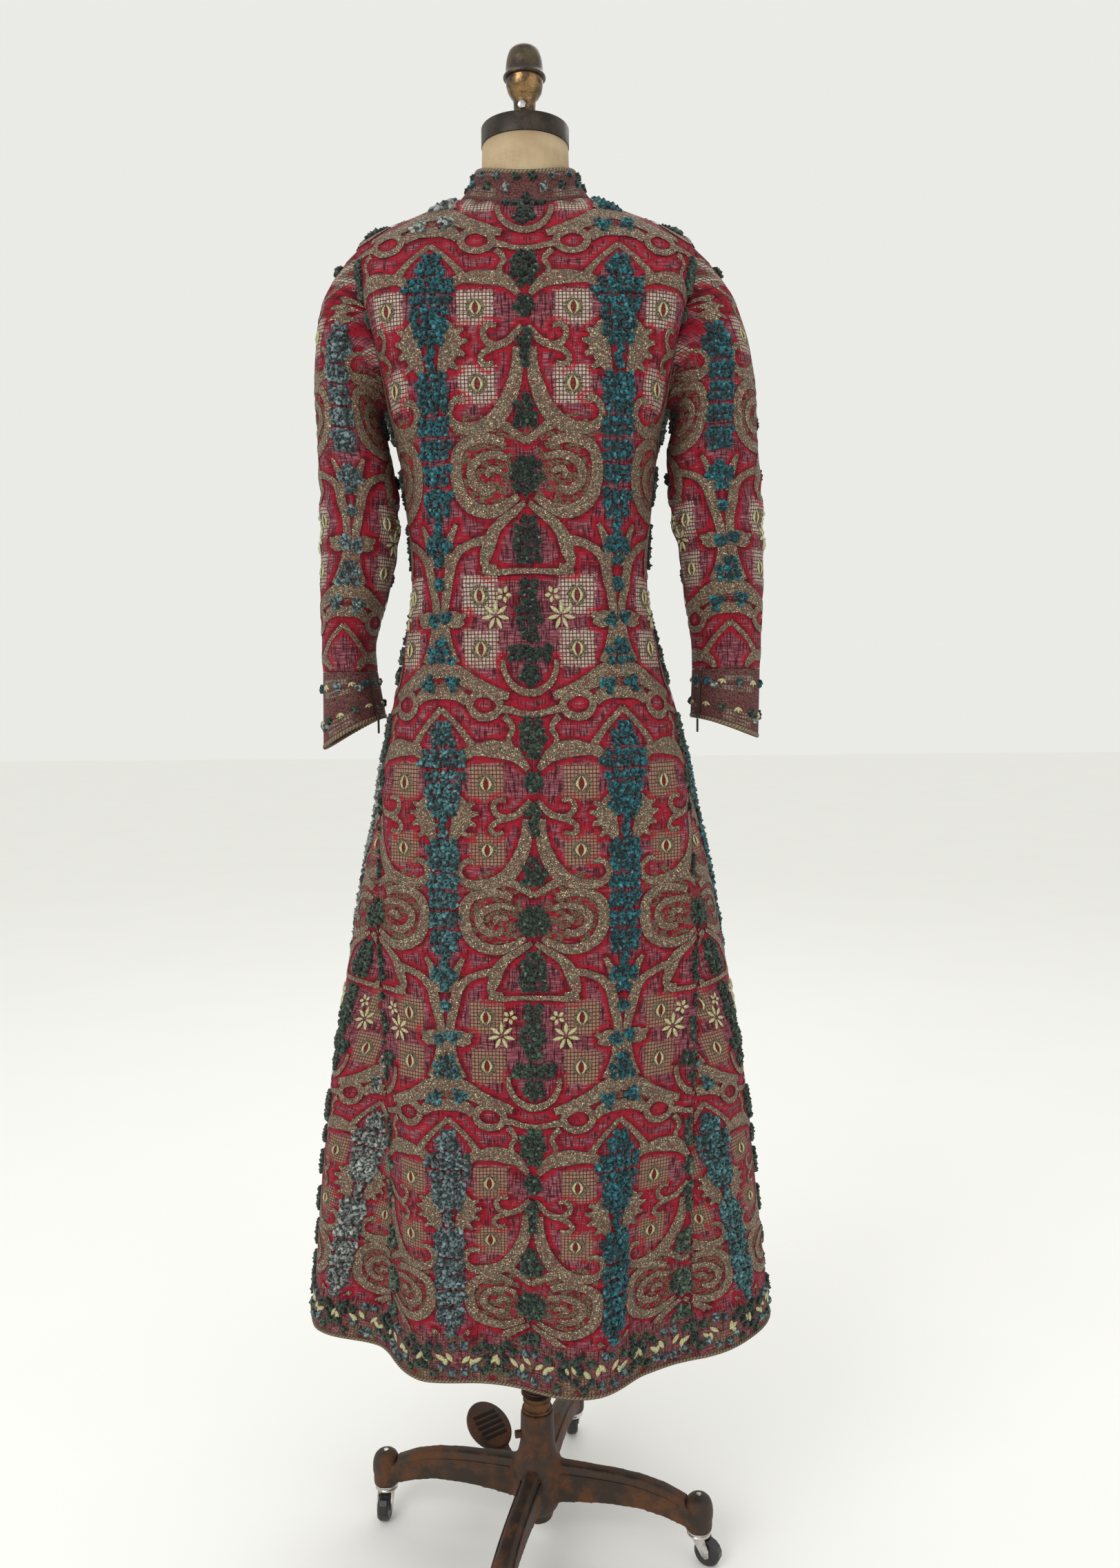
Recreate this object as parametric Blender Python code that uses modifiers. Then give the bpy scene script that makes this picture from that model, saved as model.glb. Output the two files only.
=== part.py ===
"""A long fitted robe with a stand collar and pointed cuffs, worn by a dress form on a castored iron base.

Units are metres, +Z is up and the robe's back faces -Y. The origin is on the floor under the post.
The robe is a thin wall lofted through measured rings. A ring's angle is 0 at the centre back,
+90 degrees at +X and 180 at the centre front.
"""

import math
from collections import namedtuple
from functools import lru_cache

import bmesh
import bpy
from mathutils import Matrix, Vector

# Cloth
CLOTH = 0.0018
SEAM = 0.0004
BRAID_WIDTH = 0.0055
BRAID_PROUD = 0.0009
FRONT_GAP = 0.0030
RELIEF = 0.0045

# Ornament repeat: heights of the arch tops down the centre back, and the distance between columns
ARCH_TOPS = (1.5215, 1.0330, 0.5920)
COLUMN_SPACING = 0.100
COLUMN_HALF_WIDTH = 0.017

# Dress form
NECK_RADIUS = 0.0487
NECK_TOP = 1.660
CAP_TOP = 1.681
FORM_CLEARANCE = 0.0090
FORM_SHOULDER_CLEARANCE = 0.0065
FORM_BOTTOM_ROW = 11.2
POST_RADIUS = 0.0150
POST_FOOT = 0.105
CORE = 0.0003

# Base
BASE_TURN = -13.0
LEG_REACH = 0.200
HUB_TOP = 0.167
HUB_RADIUS = 0.0300
HUB_FOOT = 0.045
COLLAR_NUT_HEIGHT = 0.018
WHEEL_RADIUS = 0.0160
WHEEL_WIDTH = 0.0150
TRAIL = 0.0120
CASTER_TOP = 0.0400
ROUND_STEPS = 20

Ring = namedtuple(
    "Ring",
    "side_z back_z front_z half_width side_y back_y front_y centre_x squareness seam_angle",
)

# Outer surface of the robe, from the neckline seam down to the hem
RINGS = (
    Ring(1.600, 1.578, 1.530, 0.076, 0.000, -0.062, 0.066, 0.002, 0.00, 90),
    Ring(1.586, 1.562, 1.502, 0.112, -0.002, -0.081, 0.086, 0.002, 0.02, 90),
    Ring(1.568, 1.534, 1.466, 0.152, -0.004, -0.098, 0.104, 0.002, 0.05, 90),
    Ring(1.546, 1.497, 1.425, 0.187, -0.005, -0.112, 0.121, 0.002, 0.08, 90),
    Ring(1.500, 1.455, 1.388, 0.184, -0.004, -0.120, 0.131, 0.002, 0.09, 90),
    Ring(1.440, 1.405, 1.352, 0.171, -0.002, -0.121, 0.136, 0.002, 0.08, 90),
    Ring(1.368, 1.350, 1.312, 0.158, 0.000, -0.115, 0.133, 0.002, 0.06, 90),
    Ring(1.280, 1.275, 1.256, 0.1425, 0.000, -0.100, 0.110, 0.002, 0.05, 90),
    Ring(1.165, 1.165, 1.165, 0.1365, 0.000, -0.086, 0.092, 0.002, 0.04, 90),
    Ring(1.095, 1.095, 1.095, 0.1480, 0.000, -0.100, 0.104, 0.003, 0.04, 86),
    Ring(1.000, 1.000, 1.000, 0.1720, 0.000, -0.121, 0.125, 0.006, 0.04, 76),
    Ring(0.900, 0.900, 0.900, 0.1900, 0.000, -0.135, 0.142, 0.007, 0.04, 63),
    Ring(0.740, 0.740, 0.740, 0.2220, 0.000, -0.150, 0.162, 0.006, 0.03, 51),
    Ring(0.600, 0.600, 0.600, 0.2440, 0.000, -0.162, 0.176, 0.005, 0.02, 45),
    Ring(0.450, 0.450, 0.450, 0.2590, 0.000, -0.173, 0.188, 0.003, 0.01, 43),
    Ring(0.300, 0.300, 0.300, 0.2730, 0.000, -0.182, 0.198, 0.002, 0.00, 42),
)
SHOULDER_TIP = 3
UNDERARM = 6
HEM = len(RINGS) - 1

# Folds that open towards the hem
Fold = namedtuple("Fold", "angle half_width depth start_z")
FOLDS = (
    Fold(11, 17, 0.020, 0.80),
    Fold(-12, 17, -0.012, 0.75),
    Fold(-50, 25, -0.040, 0.98),
    Fold(37, 24, -0.015, 0.95),
    Fold(80, 24, 0.009, 0.80),
    Fold(-104, 24, 0.010, 0.80),
    Fold(118, 20, -0.012, 0.85),
    Fold(141, 20, 0.012, 0.80),
    Fold(163, 18, -0.012, 0.70),
    Fold(-129, 20, -0.014, 0.85),
    Fold(-148, 20, 0.014, 0.80),
    Fold(-168, 14, -0.008, 0.70),
)
ARMHOLE_BITE_BACK = 25.0
ARMHOLE_BITE_FRONT = 31.0

# Sleeve rings from the upper arm to the wrist, distances from the centre plane
SleeveRing = namedtuple("SleeveRing", "z outer inner centre_y half_depth")
SLEEVES = {
    "left": (
        SleeveRing(1.325, 0.2380, 0.1580, -0.004, 0.066),
        SleeveRing(1.285, 0.2380, 0.1500, -0.002, 0.063),
        SleeveRing(1.245, 0.2385, 0.1490, 0.001, 0.060),
        SleeveRing(1.206, 0.2400, 0.1540, 0.005, 0.056),
        SleeveRing(1.166, 0.2430, 0.1640, 0.011, 0.052),
        SleeveRing(1.126, 0.2445, 0.1785, 0.019, 0.048),
        SleeveRing(1.100, 0.2455, 0.1835, 0.024, 0.046),
        SleeveRing(1.0750, 0.2455, 0.1820, 0.028, 0.046),
    ),
    "right": (
        SleeveRing(1.325, 0.2640, 0.1620, -0.004, 0.064),
        SleeveRing(1.285, 0.2690, 0.1630, -0.002, 0.060),
        SleeveRing(1.245, 0.2720, 0.1670, 0.001, 0.057),
        SleeveRing(1.206, 0.2740, 0.1770, 0.005, 0.053),
        SleeveRing(1.166, 0.2740, 0.1820, 0.011, 0.050),
        SleeveRing(1.126, 0.2740, 0.1895, 0.019, 0.047),
        SleeveRing(1.100, 0.2740, 0.1940, 0.024, 0.045),
        SleeveRing(1.0750, 0.2740, 0.1940, 0.028, 0.045),
    ),
}
CuffHem = namedtuple("CuffHem", "outer inner outer_z inner_z centre_y half_depth")
CUFF_HEMS = {
    "left": CuffHem(0.2490, 0.1740, 0.982, 1.020, 0.036, 0.048),
    "right": CuffHem(0.2740, 0.1930, 0.992, 1.018, 0.036, 0.048),
}
SIDE_SIGN = {"left": -1, "right": 1}
ZIP_ANGLE = 212.0
ZIP_GAP = 0.0046
ZIP_WIDTH = 0.0040
CUFF_BRAID_SHARE = 0.93
SLIDER_SHARE = 0.955
CUFF_RADIUS = 0.040
SLEEVE_COLUMNS = 16
BICEP_ROWS = 5

# Stand collar, from its seam to its top edge
CollarRing = namedtuple("CollarRing", "side_z back_z front_z half_width back_y front_y")
COLLAR_RINGS = (
    CollarRing(1.6004, 1.5784, 1.5304, 0.0754, -0.0614, 0.0654),
    CollarRing(1.6150, 1.5960, 1.5480, 0.0640, -0.0555, 0.0590),
    CollarRing(1.6265, 1.6105, 1.5640, 0.0585, -0.0535, 0.0560),
    CollarRing(1.6320, 1.6165, 1.5700, 0.0570, -0.0530, 0.0555),
)
COLLAR_CLOTH_RINGS = (0.0, 1.0, 2.0)
COLLAR_BRAID_RINGS = (2.06, 3.0)

# Rows of the robe's grid within one repeat, as shares of it, and which of them are raised
REPEAT_ROWS = (0.060, 0.160, 0.275, 0.390, 0.515, 0.600, 0.700, 0.800, 0.900)
GREY_RAISED = (0.160, 0.275, 0.390, 0.515, 0.700, 0.900)
GREEN_RAISED = (0.060, 0.160, 0.390, 0.515, 0.700, 0.800, 0.900)
NECK_ROWS = (0.0, 0.6, 1.2, 1.9, 2.5, 3.0)

COLOURS = {
    "brocade": ((0.33, 0.02, 0.03, 1), 0.85, 0.0),
    "braid": ((0.22, 0.17, 0.11, 1), 0.60, 0.2),
    "linen": ((0.62, 0.50, 0.32, 1), 0.80, 0.0),
    "dark_metal": ((0.06, 0.05, 0.05, 1), 0.40, 0.9),
    "aged_brass": ((0.28, 0.19, 0.10, 1), 0.30, 1.0),
    "rusted_iron": ((0.09, 0.045, 0.025, 1), 0.75, 0.4),
    "chrome": ((0.75, 0.75, 0.76, 1), 0.12, 1.0),
    "tyre": ((0.02, 0.02, 0.02, 1), 0.50, 0.0),
    "zip_metal": ((0.10, 0.09, 0.08, 1), 0.35, 0.9),
}


def clear_scene():
    for item in list(bpy.data.objects):
        bpy.data.objects.remove(item)


def collection_named(name):
    made = bpy.data.collections.new(name)
    bpy.context.scene.collection.children.link(made)
    return made


@lru_cache(maxsize=None)
def material(name):
    colour, roughness, metallic = COLOURS[name]
    made = bpy.data.materials.new(name)
    made.use_nodes = True
    shader = made.node_tree.nodes["Principled BSDF"]
    shader.inputs["Base Color"].default_value = colour
    shader.inputs["Roughness"].default_value = roughness
    shader.inputs["Metallic"].default_value = metallic
    return made


def smooth_between(values, position):
    """Catmull-Rom value at a fractional position along a list."""
    last = len(values) - 1
    position = min(max(position, 0.0), float(last))
    start = min(int(position), last - 1)
    t = position - start
    before = values[max(start - 1, 0)]
    a, b = values[start], values[start + 1]
    after = values[min(start + 2, last)]
    slope_a = (b - before) / 2 if start > 0 else b - a
    slope_b = (after - a) / 2 if start + 2 <= last else b - a
    return (
        a * (2 * t**3 - 3 * t**2 + 1)
        + b * (3 * t**2 - 2 * t**3)
        + slope_a * (t**3 - 2 * t**2 + t)
        + slope_b * (t**3 - t**2)
    )


@lru_cache(maxsize=None)
def ring_at(row):
    return Ring(*[smooth_between([getattr(r, field) for r in RINGS], row) for field in Ring._fields])


def ease(share):
    share = min(max(share, 0.0), 1.0)
    return share * share * (3 - 2 * share)


def fold_offset(angle, z):
    total = 0.0
    for fold in FOLDS:
        away = (angle - fold.angle + 180) % 360 - 180
        if abs(away) < fold.half_width and z < fold.start_z:
            bump = 0.5 * (1 + math.cos(math.pi * away / fold.half_width))
            total += fold.depth * bump * ease((fold.start_z - z) / (fold.start_z - 0.25))
    return total


def bust_offset(angle, x, z):
    """Fullness over the two front shaping darts."""
    if abs(angle) < 90:
        return 0.0
    across = math.exp(-(((abs(x) - 0.072) / 0.040) ** 2))
    return 0.012 * across * math.exp(-(((z - 1.335) / 0.055) ** 2))


def plain_point(row, angle):
    """A point of the robe's outer surface."""
    ring = ring_at(row)
    turn = math.radians(angle)
    k = ring.squareness
    across = (math.sin(turn) + k * math.sin(3 * turn)) / (1 - k)
    along = (math.cos(turn) - k * math.cos(3 * turn)) / (1 - k)
    reach_y = ring.side_y - ring.back_y if along > 0 else ring.front_y - ring.side_y
    end_z = ring.back_z if along > 0 else ring.front_z
    x = ring.centre_x + ring.half_width * across
    y = ring.side_y - reach_y * along
    z = ring.side_z + (end_z - ring.side_z) * along * along
    out = fold_offset(angle, z)
    y += bust_offset(angle, x, z)
    return Vector((x + out * math.sin(turn), y - out * math.cos(turn), z))


@lru_cache(maxsize=None)
def surface(row, angle):
    """(point, outward normal) of the robe's outer surface."""
    around = plain_point(row, angle + 0.8) - plain_point(row, angle - 0.8)
    down = plain_point(min(row + 0.05, HEM), angle) - plain_point(max(row - 0.05, 0.0), angle)
    return plain_point(row, angle), down.cross(around).normalized()


def cloth_point(row, angle, out=0.0):
    point, normal = surface(row, angle)
    return point + normal * out


@lru_cache(maxsize=None)
def arc_table(row, sign):
    """Distances along the ring from the centre back, every 3 degrees."""
    lengths, last = [0.0], plain_point(row, 0)
    for step in range(1, 61):
        here = plain_point(row, sign * step * 3)
        lengths.append(lengths[-1] + (here - last).length)
        last = here
    return lengths


def arc_to(row, angle):
    """Distance along the ring from the centre back to an angle."""
    table = arc_table(row, 1 if angle >= 0 else -1)
    place = abs(angle) / 3
    start = min(int(place), 59)
    return table[start] + (table[start + 1] - table[start]) * (place - start)


def angle_for(row, sign, length):
    table = arc_table(row, sign)
    for step in range(60):
        if length <= table[step + 1] or step == 59:
            share = (length - table[step]) / max(table[step + 1] - table[step], 1e-9)
            return sign * 3 * (step + share)
    return sign * 180


def armhole_shape(row):
    if not SHOULDER_TIP < row < UNDERARM:
        return 0.0
    share = (row - SHOULDER_TIP) / (UNDERARM - SHOULDER_TIP)
    return (1 - abs(2 * share - 1) ** 2.4) ** 0.5


def back_edge(row):
    return ring_at(row).seam_angle - ARMHOLE_BITE_BACK * armhole_shape(row)


def front_edge(row):
    return ring_at(row).seam_angle + ARMHOLE_BITE_FRONT * armhole_shape(row)


def row_at_height(z):
    """The row whose centre back is at a height."""
    low, high = 0.0, float(HEM)
    for _ in range(40):
        middle = (low + high) / 2
        if ring_at(middle).back_z > z:
            low = middle
        else:
            high = middle
    return low


def height_of_repeat(repeat):
    if repeat < 1:
        return ARCH_TOPS[0] - repeat * (ARCH_TOPS[0] - ARCH_TOPS[1])
    return ARCH_TOPS[1] - (repeat - 1) * (ARCH_TOPS[1] - ARCH_TOPS[2])


HEM_BRAID_TOP = ring_at(HEM).side_z + BRAID_WIDTH + 0.0003
ARMHOLE_ROWS = tuple(
    SHOULDER_TIP + (UNDERARM - SHOULDER_TIP) * (1 - math.cos(2 * math.pi * i / SLEEVE_COLUMNS)) / 2
    for i in range(1, SLEEVE_COLUMNS // 2)
)


def body_rows():
    """Rows of the robe's grid with the share of the repeat each stands at, or None."""
    rows = [(row, None) for row in (*NECK_ROWS, *ARMHOLE_ROWS, float(UNDERARM))]
    for whole in range(3):
        for share in REPEAT_ROWS:
            z = height_of_repeat(whole + share)
            if HEM_BRAID_TOP + 0.012 < z < ring_at(UNDERARM).back_z - 0.012:
                rows.append((row_at_height(z), share))
    return rows + [(row_at_height(HEM_BRAID_TOP), None)]


Line = namedtuple("Line", "distance column")


def column_lines(column):
    middle = column * COLUMN_SPACING
    return [
        Line(middle - COLUMN_HALF_WIDTH, None),
        Line(middle, column),
        Line(middle + COLUMN_HALF_WIDTH, None),
    ]


BACK_LINES = [
    Line(COLUMN_HALF_WIDTH, None),
    Line(0.050, None),
    *column_lines(1),
    Line(0.150, None),
    *column_lines(2),
    Line(0.241, None),
]
FRONT_START = FRONT_GAP / 2 + BRAID_WIDTH + 0.0003
FRONT_LINES = [
    Line(FRONT_START, None),
    Line(0.045, None),
    *column_lines(1),
    Line(0.140, None),
    *column_lines(2),
    Line(0.250, None),
    *column_lines(3),
    *[Line(0.355 + 0.040 * i, None) for i in range(4)],
]
NARROWEST_STRIP = 0.006
NECK_REACH = 0.155


def lines_at(row, lines, edge):
    """The lines of a row, drawn together at the neck and merged where they leave the panel."""
    spread = edge / NECK_REACH
    loose = ease(row / 1.9)
    placed = []
    for line in lines:
        near = min(line.distance * spread, edge) if line.distance > FRONT_START else line.distance
        fitted = near + (line.distance - near) * loose
        if edge - fitted < NARROWEST_STRIP:
            fitted = edge
        placed.append(Line(fitted, line.column if fitted == line.distance else None))
    return placed + [Line(edge, None)]


def relief(share, column):
    """Height of the chenille over the cloth where a row crosses a column's middle."""
    if share is None or column is None:
        return 0.0
    return RELIEF if share in (GREY_RAISED if column % 2 else GREEN_RAISED) else 0.0


def mesh_object(name, mesh, group, finish):
    made = bpy.data.objects.new(name, mesh)
    group.objects.link(made)
    mesh.materials.clear()
    mesh.materials.append(material(finish))
    return made


def wall(name, outer, inner, group, finish, closed=False):
    """A closed wall between two grids of points, rows by columns."""
    shape = bmesh.new()
    sides = [[[shape.verts.new(p) for p in row] for row in grid] for grid in (outer, inner)]
    rows, columns = len(outer), len(outer[0])
    spans = columns if closed else columns - 1
    for grid in sides:
        for i in range(rows - 1):
            for j in range(spans):
                k = (j + 1) % columns
                shape.faces.new((grid[i][j], grid[i][k], grid[i + 1][k], grid[i + 1][j]))
    out, back = sides
    for i in (0, rows - 1):
        for j in range(spans):
            k = (j + 1) % columns
            shape.faces.new((out[i][j], out[i][k], back[i][k], back[i][j]))
    if not closed:
        for j in (0, columns - 1):
            for i in range(rows - 1):
                shape.faces.new((out[i][j], out[i + 1][j], back[i + 1][j], back[i][j]))
    bmesh.ops.remove_doubles(shape, verts=shape.verts, dist=0.00002)
    bmesh.ops.recalc_face_normals(shape, faces=shape.faces)
    mesh = bpy.data.meshes.new(name)
    shape.to_mesh(mesh)
    shape.free()
    mesh.shade_smooth()
    mesh.set_sharp_from_angle(angle=math.radians(40))
    return mesh_object(name, mesh, group, finish)


def loft(name, rings, group, finish):
    """A solid through closed rings of equal counts, with flat ends."""
    shape = bmesh.new()
    made = [[shape.verts.new(p) for p in ring] for ring in rings]
    count = len(rings[0])
    for low, high in zip(made, made[1:]):
        for j in range(count):
            k = (j + 1) % count
            shape.faces.new((low[j], low[k], high[k], high[j]))
    shape.faces.new(made[0])
    shape.faces.new(made[-1])
    bmesh.ops.recalc_face_normals(shape, faces=shape.faces)
    mesh = bpy.data.meshes.new(name)
    shape.to_mesh(mesh)
    shape.free()
    mesh.shade_smooth()
    mesh.set_sharp_from_angle(angle=math.radians(40))
    return mesh_object(name, mesh, group, finish)


def turned(name, profile, group, finish, steps=ROUND_STEPS):
    """A profile of (radius, height) points, running down its outer side, turned about Z."""
    mesh = bpy.data.meshes.new(name)
    points = [(radius, 0.0, height) for radius, height in profile]
    on_axis = profile[0][0] == 0
    count = len(points)
    edges = [(i, i + 1) for i in range(count - 1)] + ([] if on_axis else [(count - 1, 0)])
    mesh.from_pydata(points, edges, [])
    made = mesh_object(name, mesh, group, finish)
    screw = made.modifiers.new("turn", "SCREW")
    screw.steps = steps
    screw.render_steps = steps
    screw.use_merge_vertices = True
    screw.merge_threshold = 0.00001
    screw.use_smooth_shade = True
    return made


def finished_mesh(item):
    """The object's evaluated mesh, as a mesh of its own, with the object removed."""
    bpy.context.view_layer.update()
    graph = bpy.context.evaluated_depsgraph_get()
    mesh = bpy.data.meshes.new_from_object(item.evaluated_get(graph))
    bpy.data.objects.remove(item)
    return mesh


def joined(name, items, group, finish):
    """One solid from overlapping solids."""
    bodies = []
    for item in items:
        bpy.context.view_layer.update()
        matrix = item.matrix_world.copy()
        mesh = finished_mesh(item)
        mesh.transform(matrix)
        bodies.append(mesh_object(name + "_piece", mesh, group, finish))
    first = bodies[0]
    for other in bodies[1:]:
        union = first.modifiers.new("join", "BOOLEAN")
        union.operation = "UNION"
        union.solver = "EXACT"
        union.object = other
    mesh = finished_mesh(first)
    for other in bodies[1:]:
        bpy.data.objects.remove(other)
    mesh.name = name
    return mesh_object(name, mesh, group, finish)


def panel_point(row, sign, distance, from_front, out):
    total = arc_table(row, sign)[-1]
    length = total - distance if from_front else distance
    return cloth_point(row, angle_for(row, sign, length), out)


def back_lines(row):
    """Signed distances from the centre back, left edge to right edge, with the column on each."""
    sides = {}
    for sign in (-1, 1):
        edge = arc_to(row, sign * back_edge(row)) - SEAM / 2
        sides[sign] = [Line(sign * line.distance, line.column) for line in lines_at(row, BACK_LINES, edge)]
    return sides[-1][::-1] + [Line(0.0, 0)] + sides[1]


def front_lines(row, sign):
    edge = arc_table(row, sign)[-1] - arc_to(row, sign * front_edge(row)) - SEAM / 2
    return lines_at(row, FRONT_LINES, edge)


def back_point(row, line, out):
    return panel_point(row, 1 if line.distance >= 0 else -1, abs(line.distance), False, out)


def make_back(rows, group):
    outer, inner = [], []
    for row, share in rows:
        lines = back_lines(row)
        outer.append([back_point(row, line, relief(share, line.column)) for line in lines])
        inner.append([back_point(row, line, -CLOTH) for line in lines])
    wall("back", outer, inner, group, "brocade")


def make_front(side, rows, group):
    sign = SIDE_SIGN[side]
    outer, inner = [], []
    for row, share in rows:
        lines = front_lines(row, sign)
        outer.append([panel_point(row, sign, d, True, relief(share, column)) for d, column in lines])
        inner.append([panel_point(row, sign, d, True, -CLOTH) for d, _ in lines])
    wall(f"front_{side}", outer, inner, group, "brocade")


def make_front_braid(side, rows, group):
    sign = SIDE_SIGN[side]
    lines = (FRONT_GAP / 2, FRONT_GAP / 2 + BRAID_WIDTH)
    outer = [[panel_point(row, sign, d, True, BRAID_PROUD) for d in lines] for row, _ in rows]
    inner = [[panel_point(row, sign, d, True, -CLOTH) for d in lines] for row, _ in rows]
    wall(f"front_braid_{side}", outer, inner, group, "braid")


def angles_round(row):
    """Angles of every line round a row, from the left of the centre front to its right."""
    angles = []
    for sign in (-1, 1):
        total = arc_table(row, sign)[-1]
        fronts = [line.distance for line in front_lines(row, sign)[:-1]]
        backs = [abs(line.distance) for line in back_lines(row) if sign * line.distance > 0]
        front = [sign * abs(angle_for(row, sign, total - distance)) for distance in fronts]
        back = [angle_for(row, sign, distance) for distance in backs]
        angles += front + back if sign < 0 else [0.0] + back + front[::-1]
    kept = [angles[0]]
    for angle in angles[1:]:
        if angle - kept[-1] > 0.05:
            kept.append(angle)
    return kept


def make_hem_braid(group):
    """The edging under the hem, open at the centre front."""
    foot = float(HEM)
    start = angle_for(foot, 1, arc_table(foot, 1)[-1] - FRONT_GAP / 2)
    angles = [-start, *angles_round(foot), start]
    outer, inner = [], []
    for row in (row_at_height(HEM_BRAID_TOP - 0.0003), foot):
        outer.append([cloth_point(row, a, BRAID_PROUD) for a in angles])
        inner.append([cloth_point(row, a, -CLOTH) for a in angles])
    wall("hem_braid", outer, inner, group, "braid")


def collar_ring_at(position):
    return CollarRing(
        *[smooth_between([getattr(r, field) for r in COLLAR_RINGS], position) for field in CollarRing._fields]
    )


def collar_point(position, angle, out):
    ring = collar_ring_at(position)
    turn = math.radians(angle)
    along = math.cos(turn)
    reach = -ring.back_y if along > 0 else ring.front_y
    end_z = ring.back_z if along > 0 else ring.front_z
    x = RINGS[0].centre_x + (ring.half_width + out) * math.sin(turn)
    y = -(reach + out) * along
    return Vector((x, y, ring.side_z + (end_z - ring.side_z) * along * along))


def make_collar(group):
    angles = angles_round(0.0)
    parts = (
        ("collar", COLLAR_CLOTH_RINGS, 0.0, "brocade"),
        ("collar_braid", COLLAR_BRAID_RINGS, BRAID_PROUD, "braid"),
    )
    for name, positions, proud, finish in parts:
        outer = [[collar_point(p, a, proud) for a in angles] for p in positions]
        inner = [[collar_point(p, a, -CLOTH) for a in angles] for p in positions]
        wall(name, outer, inner, group, finish)


def armhole_point(side, phase):
    """A point just inside the armhole, 0 at the shoulder tip, 90 in the front, 180 under the arm."""
    sign = SIDE_SIGN[side]
    steps = round(phase * SLEEVE_COLUMNS / 360)
    half = SLEEVE_COLUMNS // 2
    if steps % half == 0:
        row = UNDERARM - 0.02 if steps else SHOULDER_TIP + 0.02
        return cloth_point(row, sign * ring_at(row).seam_angle)
    if steps < half:
        row = ARMHOLE_ROWS[steps - 1]
        length = arc_to(row, sign * front_edge(row)) - SEAM / 2
    else:
        row = ARMHOLE_ROWS[2 * half - steps - 1]
        length = arc_to(row, sign * back_edge(row)) + SEAM / 2
    return cloth_point(row, angle_for(row, sign, length))


def sleeve_ring_point(side, ring, phase):
    """A point of a level sleeve ring, 0 on the outer side and 90 towards the front."""
    turn = math.radians(phase)
    middle, half = (ring.outer + ring.inner) / 2, (ring.outer - ring.inner) / 2
    return Vector(
        (
            SIDE_SIGN[side] * (middle + half * math.cos(turn)),
            ring.centre_y + ring.half_depth * math.sin(turn),
            ring.z,
        )
    )


def sleeve_head_point(side, phase, share):
    """A point between the armhole and the upper arm ring, as a cubic curve."""
    start = armhole_point(side, phase)
    end = sleeve_ring_point(side, SLEEVES[side][0], phase)
    reach = (end - start).length
    top = max(0.0, math.cos(math.radians(phase)))
    leave = Vector((SIDE_SIGN[side], 0.0, -0.15 - 0.75 * top)).normalized()
    control_a = start + leave * reach * 0.38
    control_b = end + Vector((0, 0, 1)) * reach * 0.36
    rest = 1 - share
    return (
        start * rest**3
        + control_a * 3 * rest**2 * share
        + control_b * 3 * rest * share**2
        + end * share**3
    )


def shrunk(rows, amount):
    """The rows moved towards their own centres."""
    inner = []
    for row_points in rows:
        centre = sum(row_points, Vector()) / len(row_points)
        inner.append([p + (centre - p).normalized() * amount for p in row_points])
    return inner


def make_sleeve(side, group):
    phases = [360 * i / SLEEVE_COLUMNS for i in range(SLEEVE_COLUMNS)]
    outer = [[sleeve_head_point(side, ph, i / BICEP_ROWS) for ph in phases] for i in range(BICEP_ROWS)]
    outer += [[sleeve_ring_point(side, ring, ph) for ph in phases] for ring in SLEEVES[side]]
    wall(f"sleeve_{side}", outer, shrunk(outer, CLOTH), group, "brocade", closed=True)


def cuff_point(side, share, phase, out=0.0):
    """A point of the cuff, from its seam at share 0 to its slanted edge at 1."""
    ring, hem = SLEEVES[side][-1], CUFF_HEMS[side]
    turn = math.radians(phase)
    across = (1 + math.cos(turn)) / 2
    foot_z = hem.inner_z + (hem.outer_z - hem.inner_z) * across**1.35
    top_z = ring.z - 0.0004
    inner_x = ring.inner + (hem.inner - ring.inner) * share
    outer_x = ring.outer + (hem.outer - ring.outer) * share
    middle, half = (outer_x + inner_x) / 2, (outer_x - inner_x) / 2 + out
    centre_y = ring.centre_y + (hem.centre_y - ring.centre_y) * share
    depth = ring.half_depth + (hem.half_depth - ring.half_depth) * share + out
    return Vector(
        (
            SIDE_SIGN[side] * (middle + half * math.cos(turn)),
            centre_y + depth * math.sin(turn),
            top_z + (foot_z - top_z) * share,
        )
    )


def zip_half_turn(width):
    """Half of a slit's width, in degrees round the cuff."""
    return math.degrees(width / 2 / CUFF_RADIUS)


def make_cuff(side, group):
    gap = zip_half_turn(ZIP_GAP)
    phases = [ZIP_ANGLE + gap + (360 - 2 * gap) * i / SLEEVE_COLUMNS for i in range(SLEEVE_COLUMNS + 1)]
    parts = (
        (f"cuff_{side}", (0.0, 0.33, 0.66, CUFF_BRAID_SHARE - 0.004), 0.0, "brocade"),
        (f"cuff_braid_{side}", (CUFF_BRAID_SHARE, 1.0), BRAID_PROUD, "braid"),
    )
    for name, shares, proud, finish in parts:
        outer = [[cuff_point(side, s, ph, proud) for ph in phases] for s in shares]
        inner = [[cuff_point(side, s, ph, -CLOTH) for ph in phases] for s in shares]
        wall(name, outer, inner, group, finish)


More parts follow.
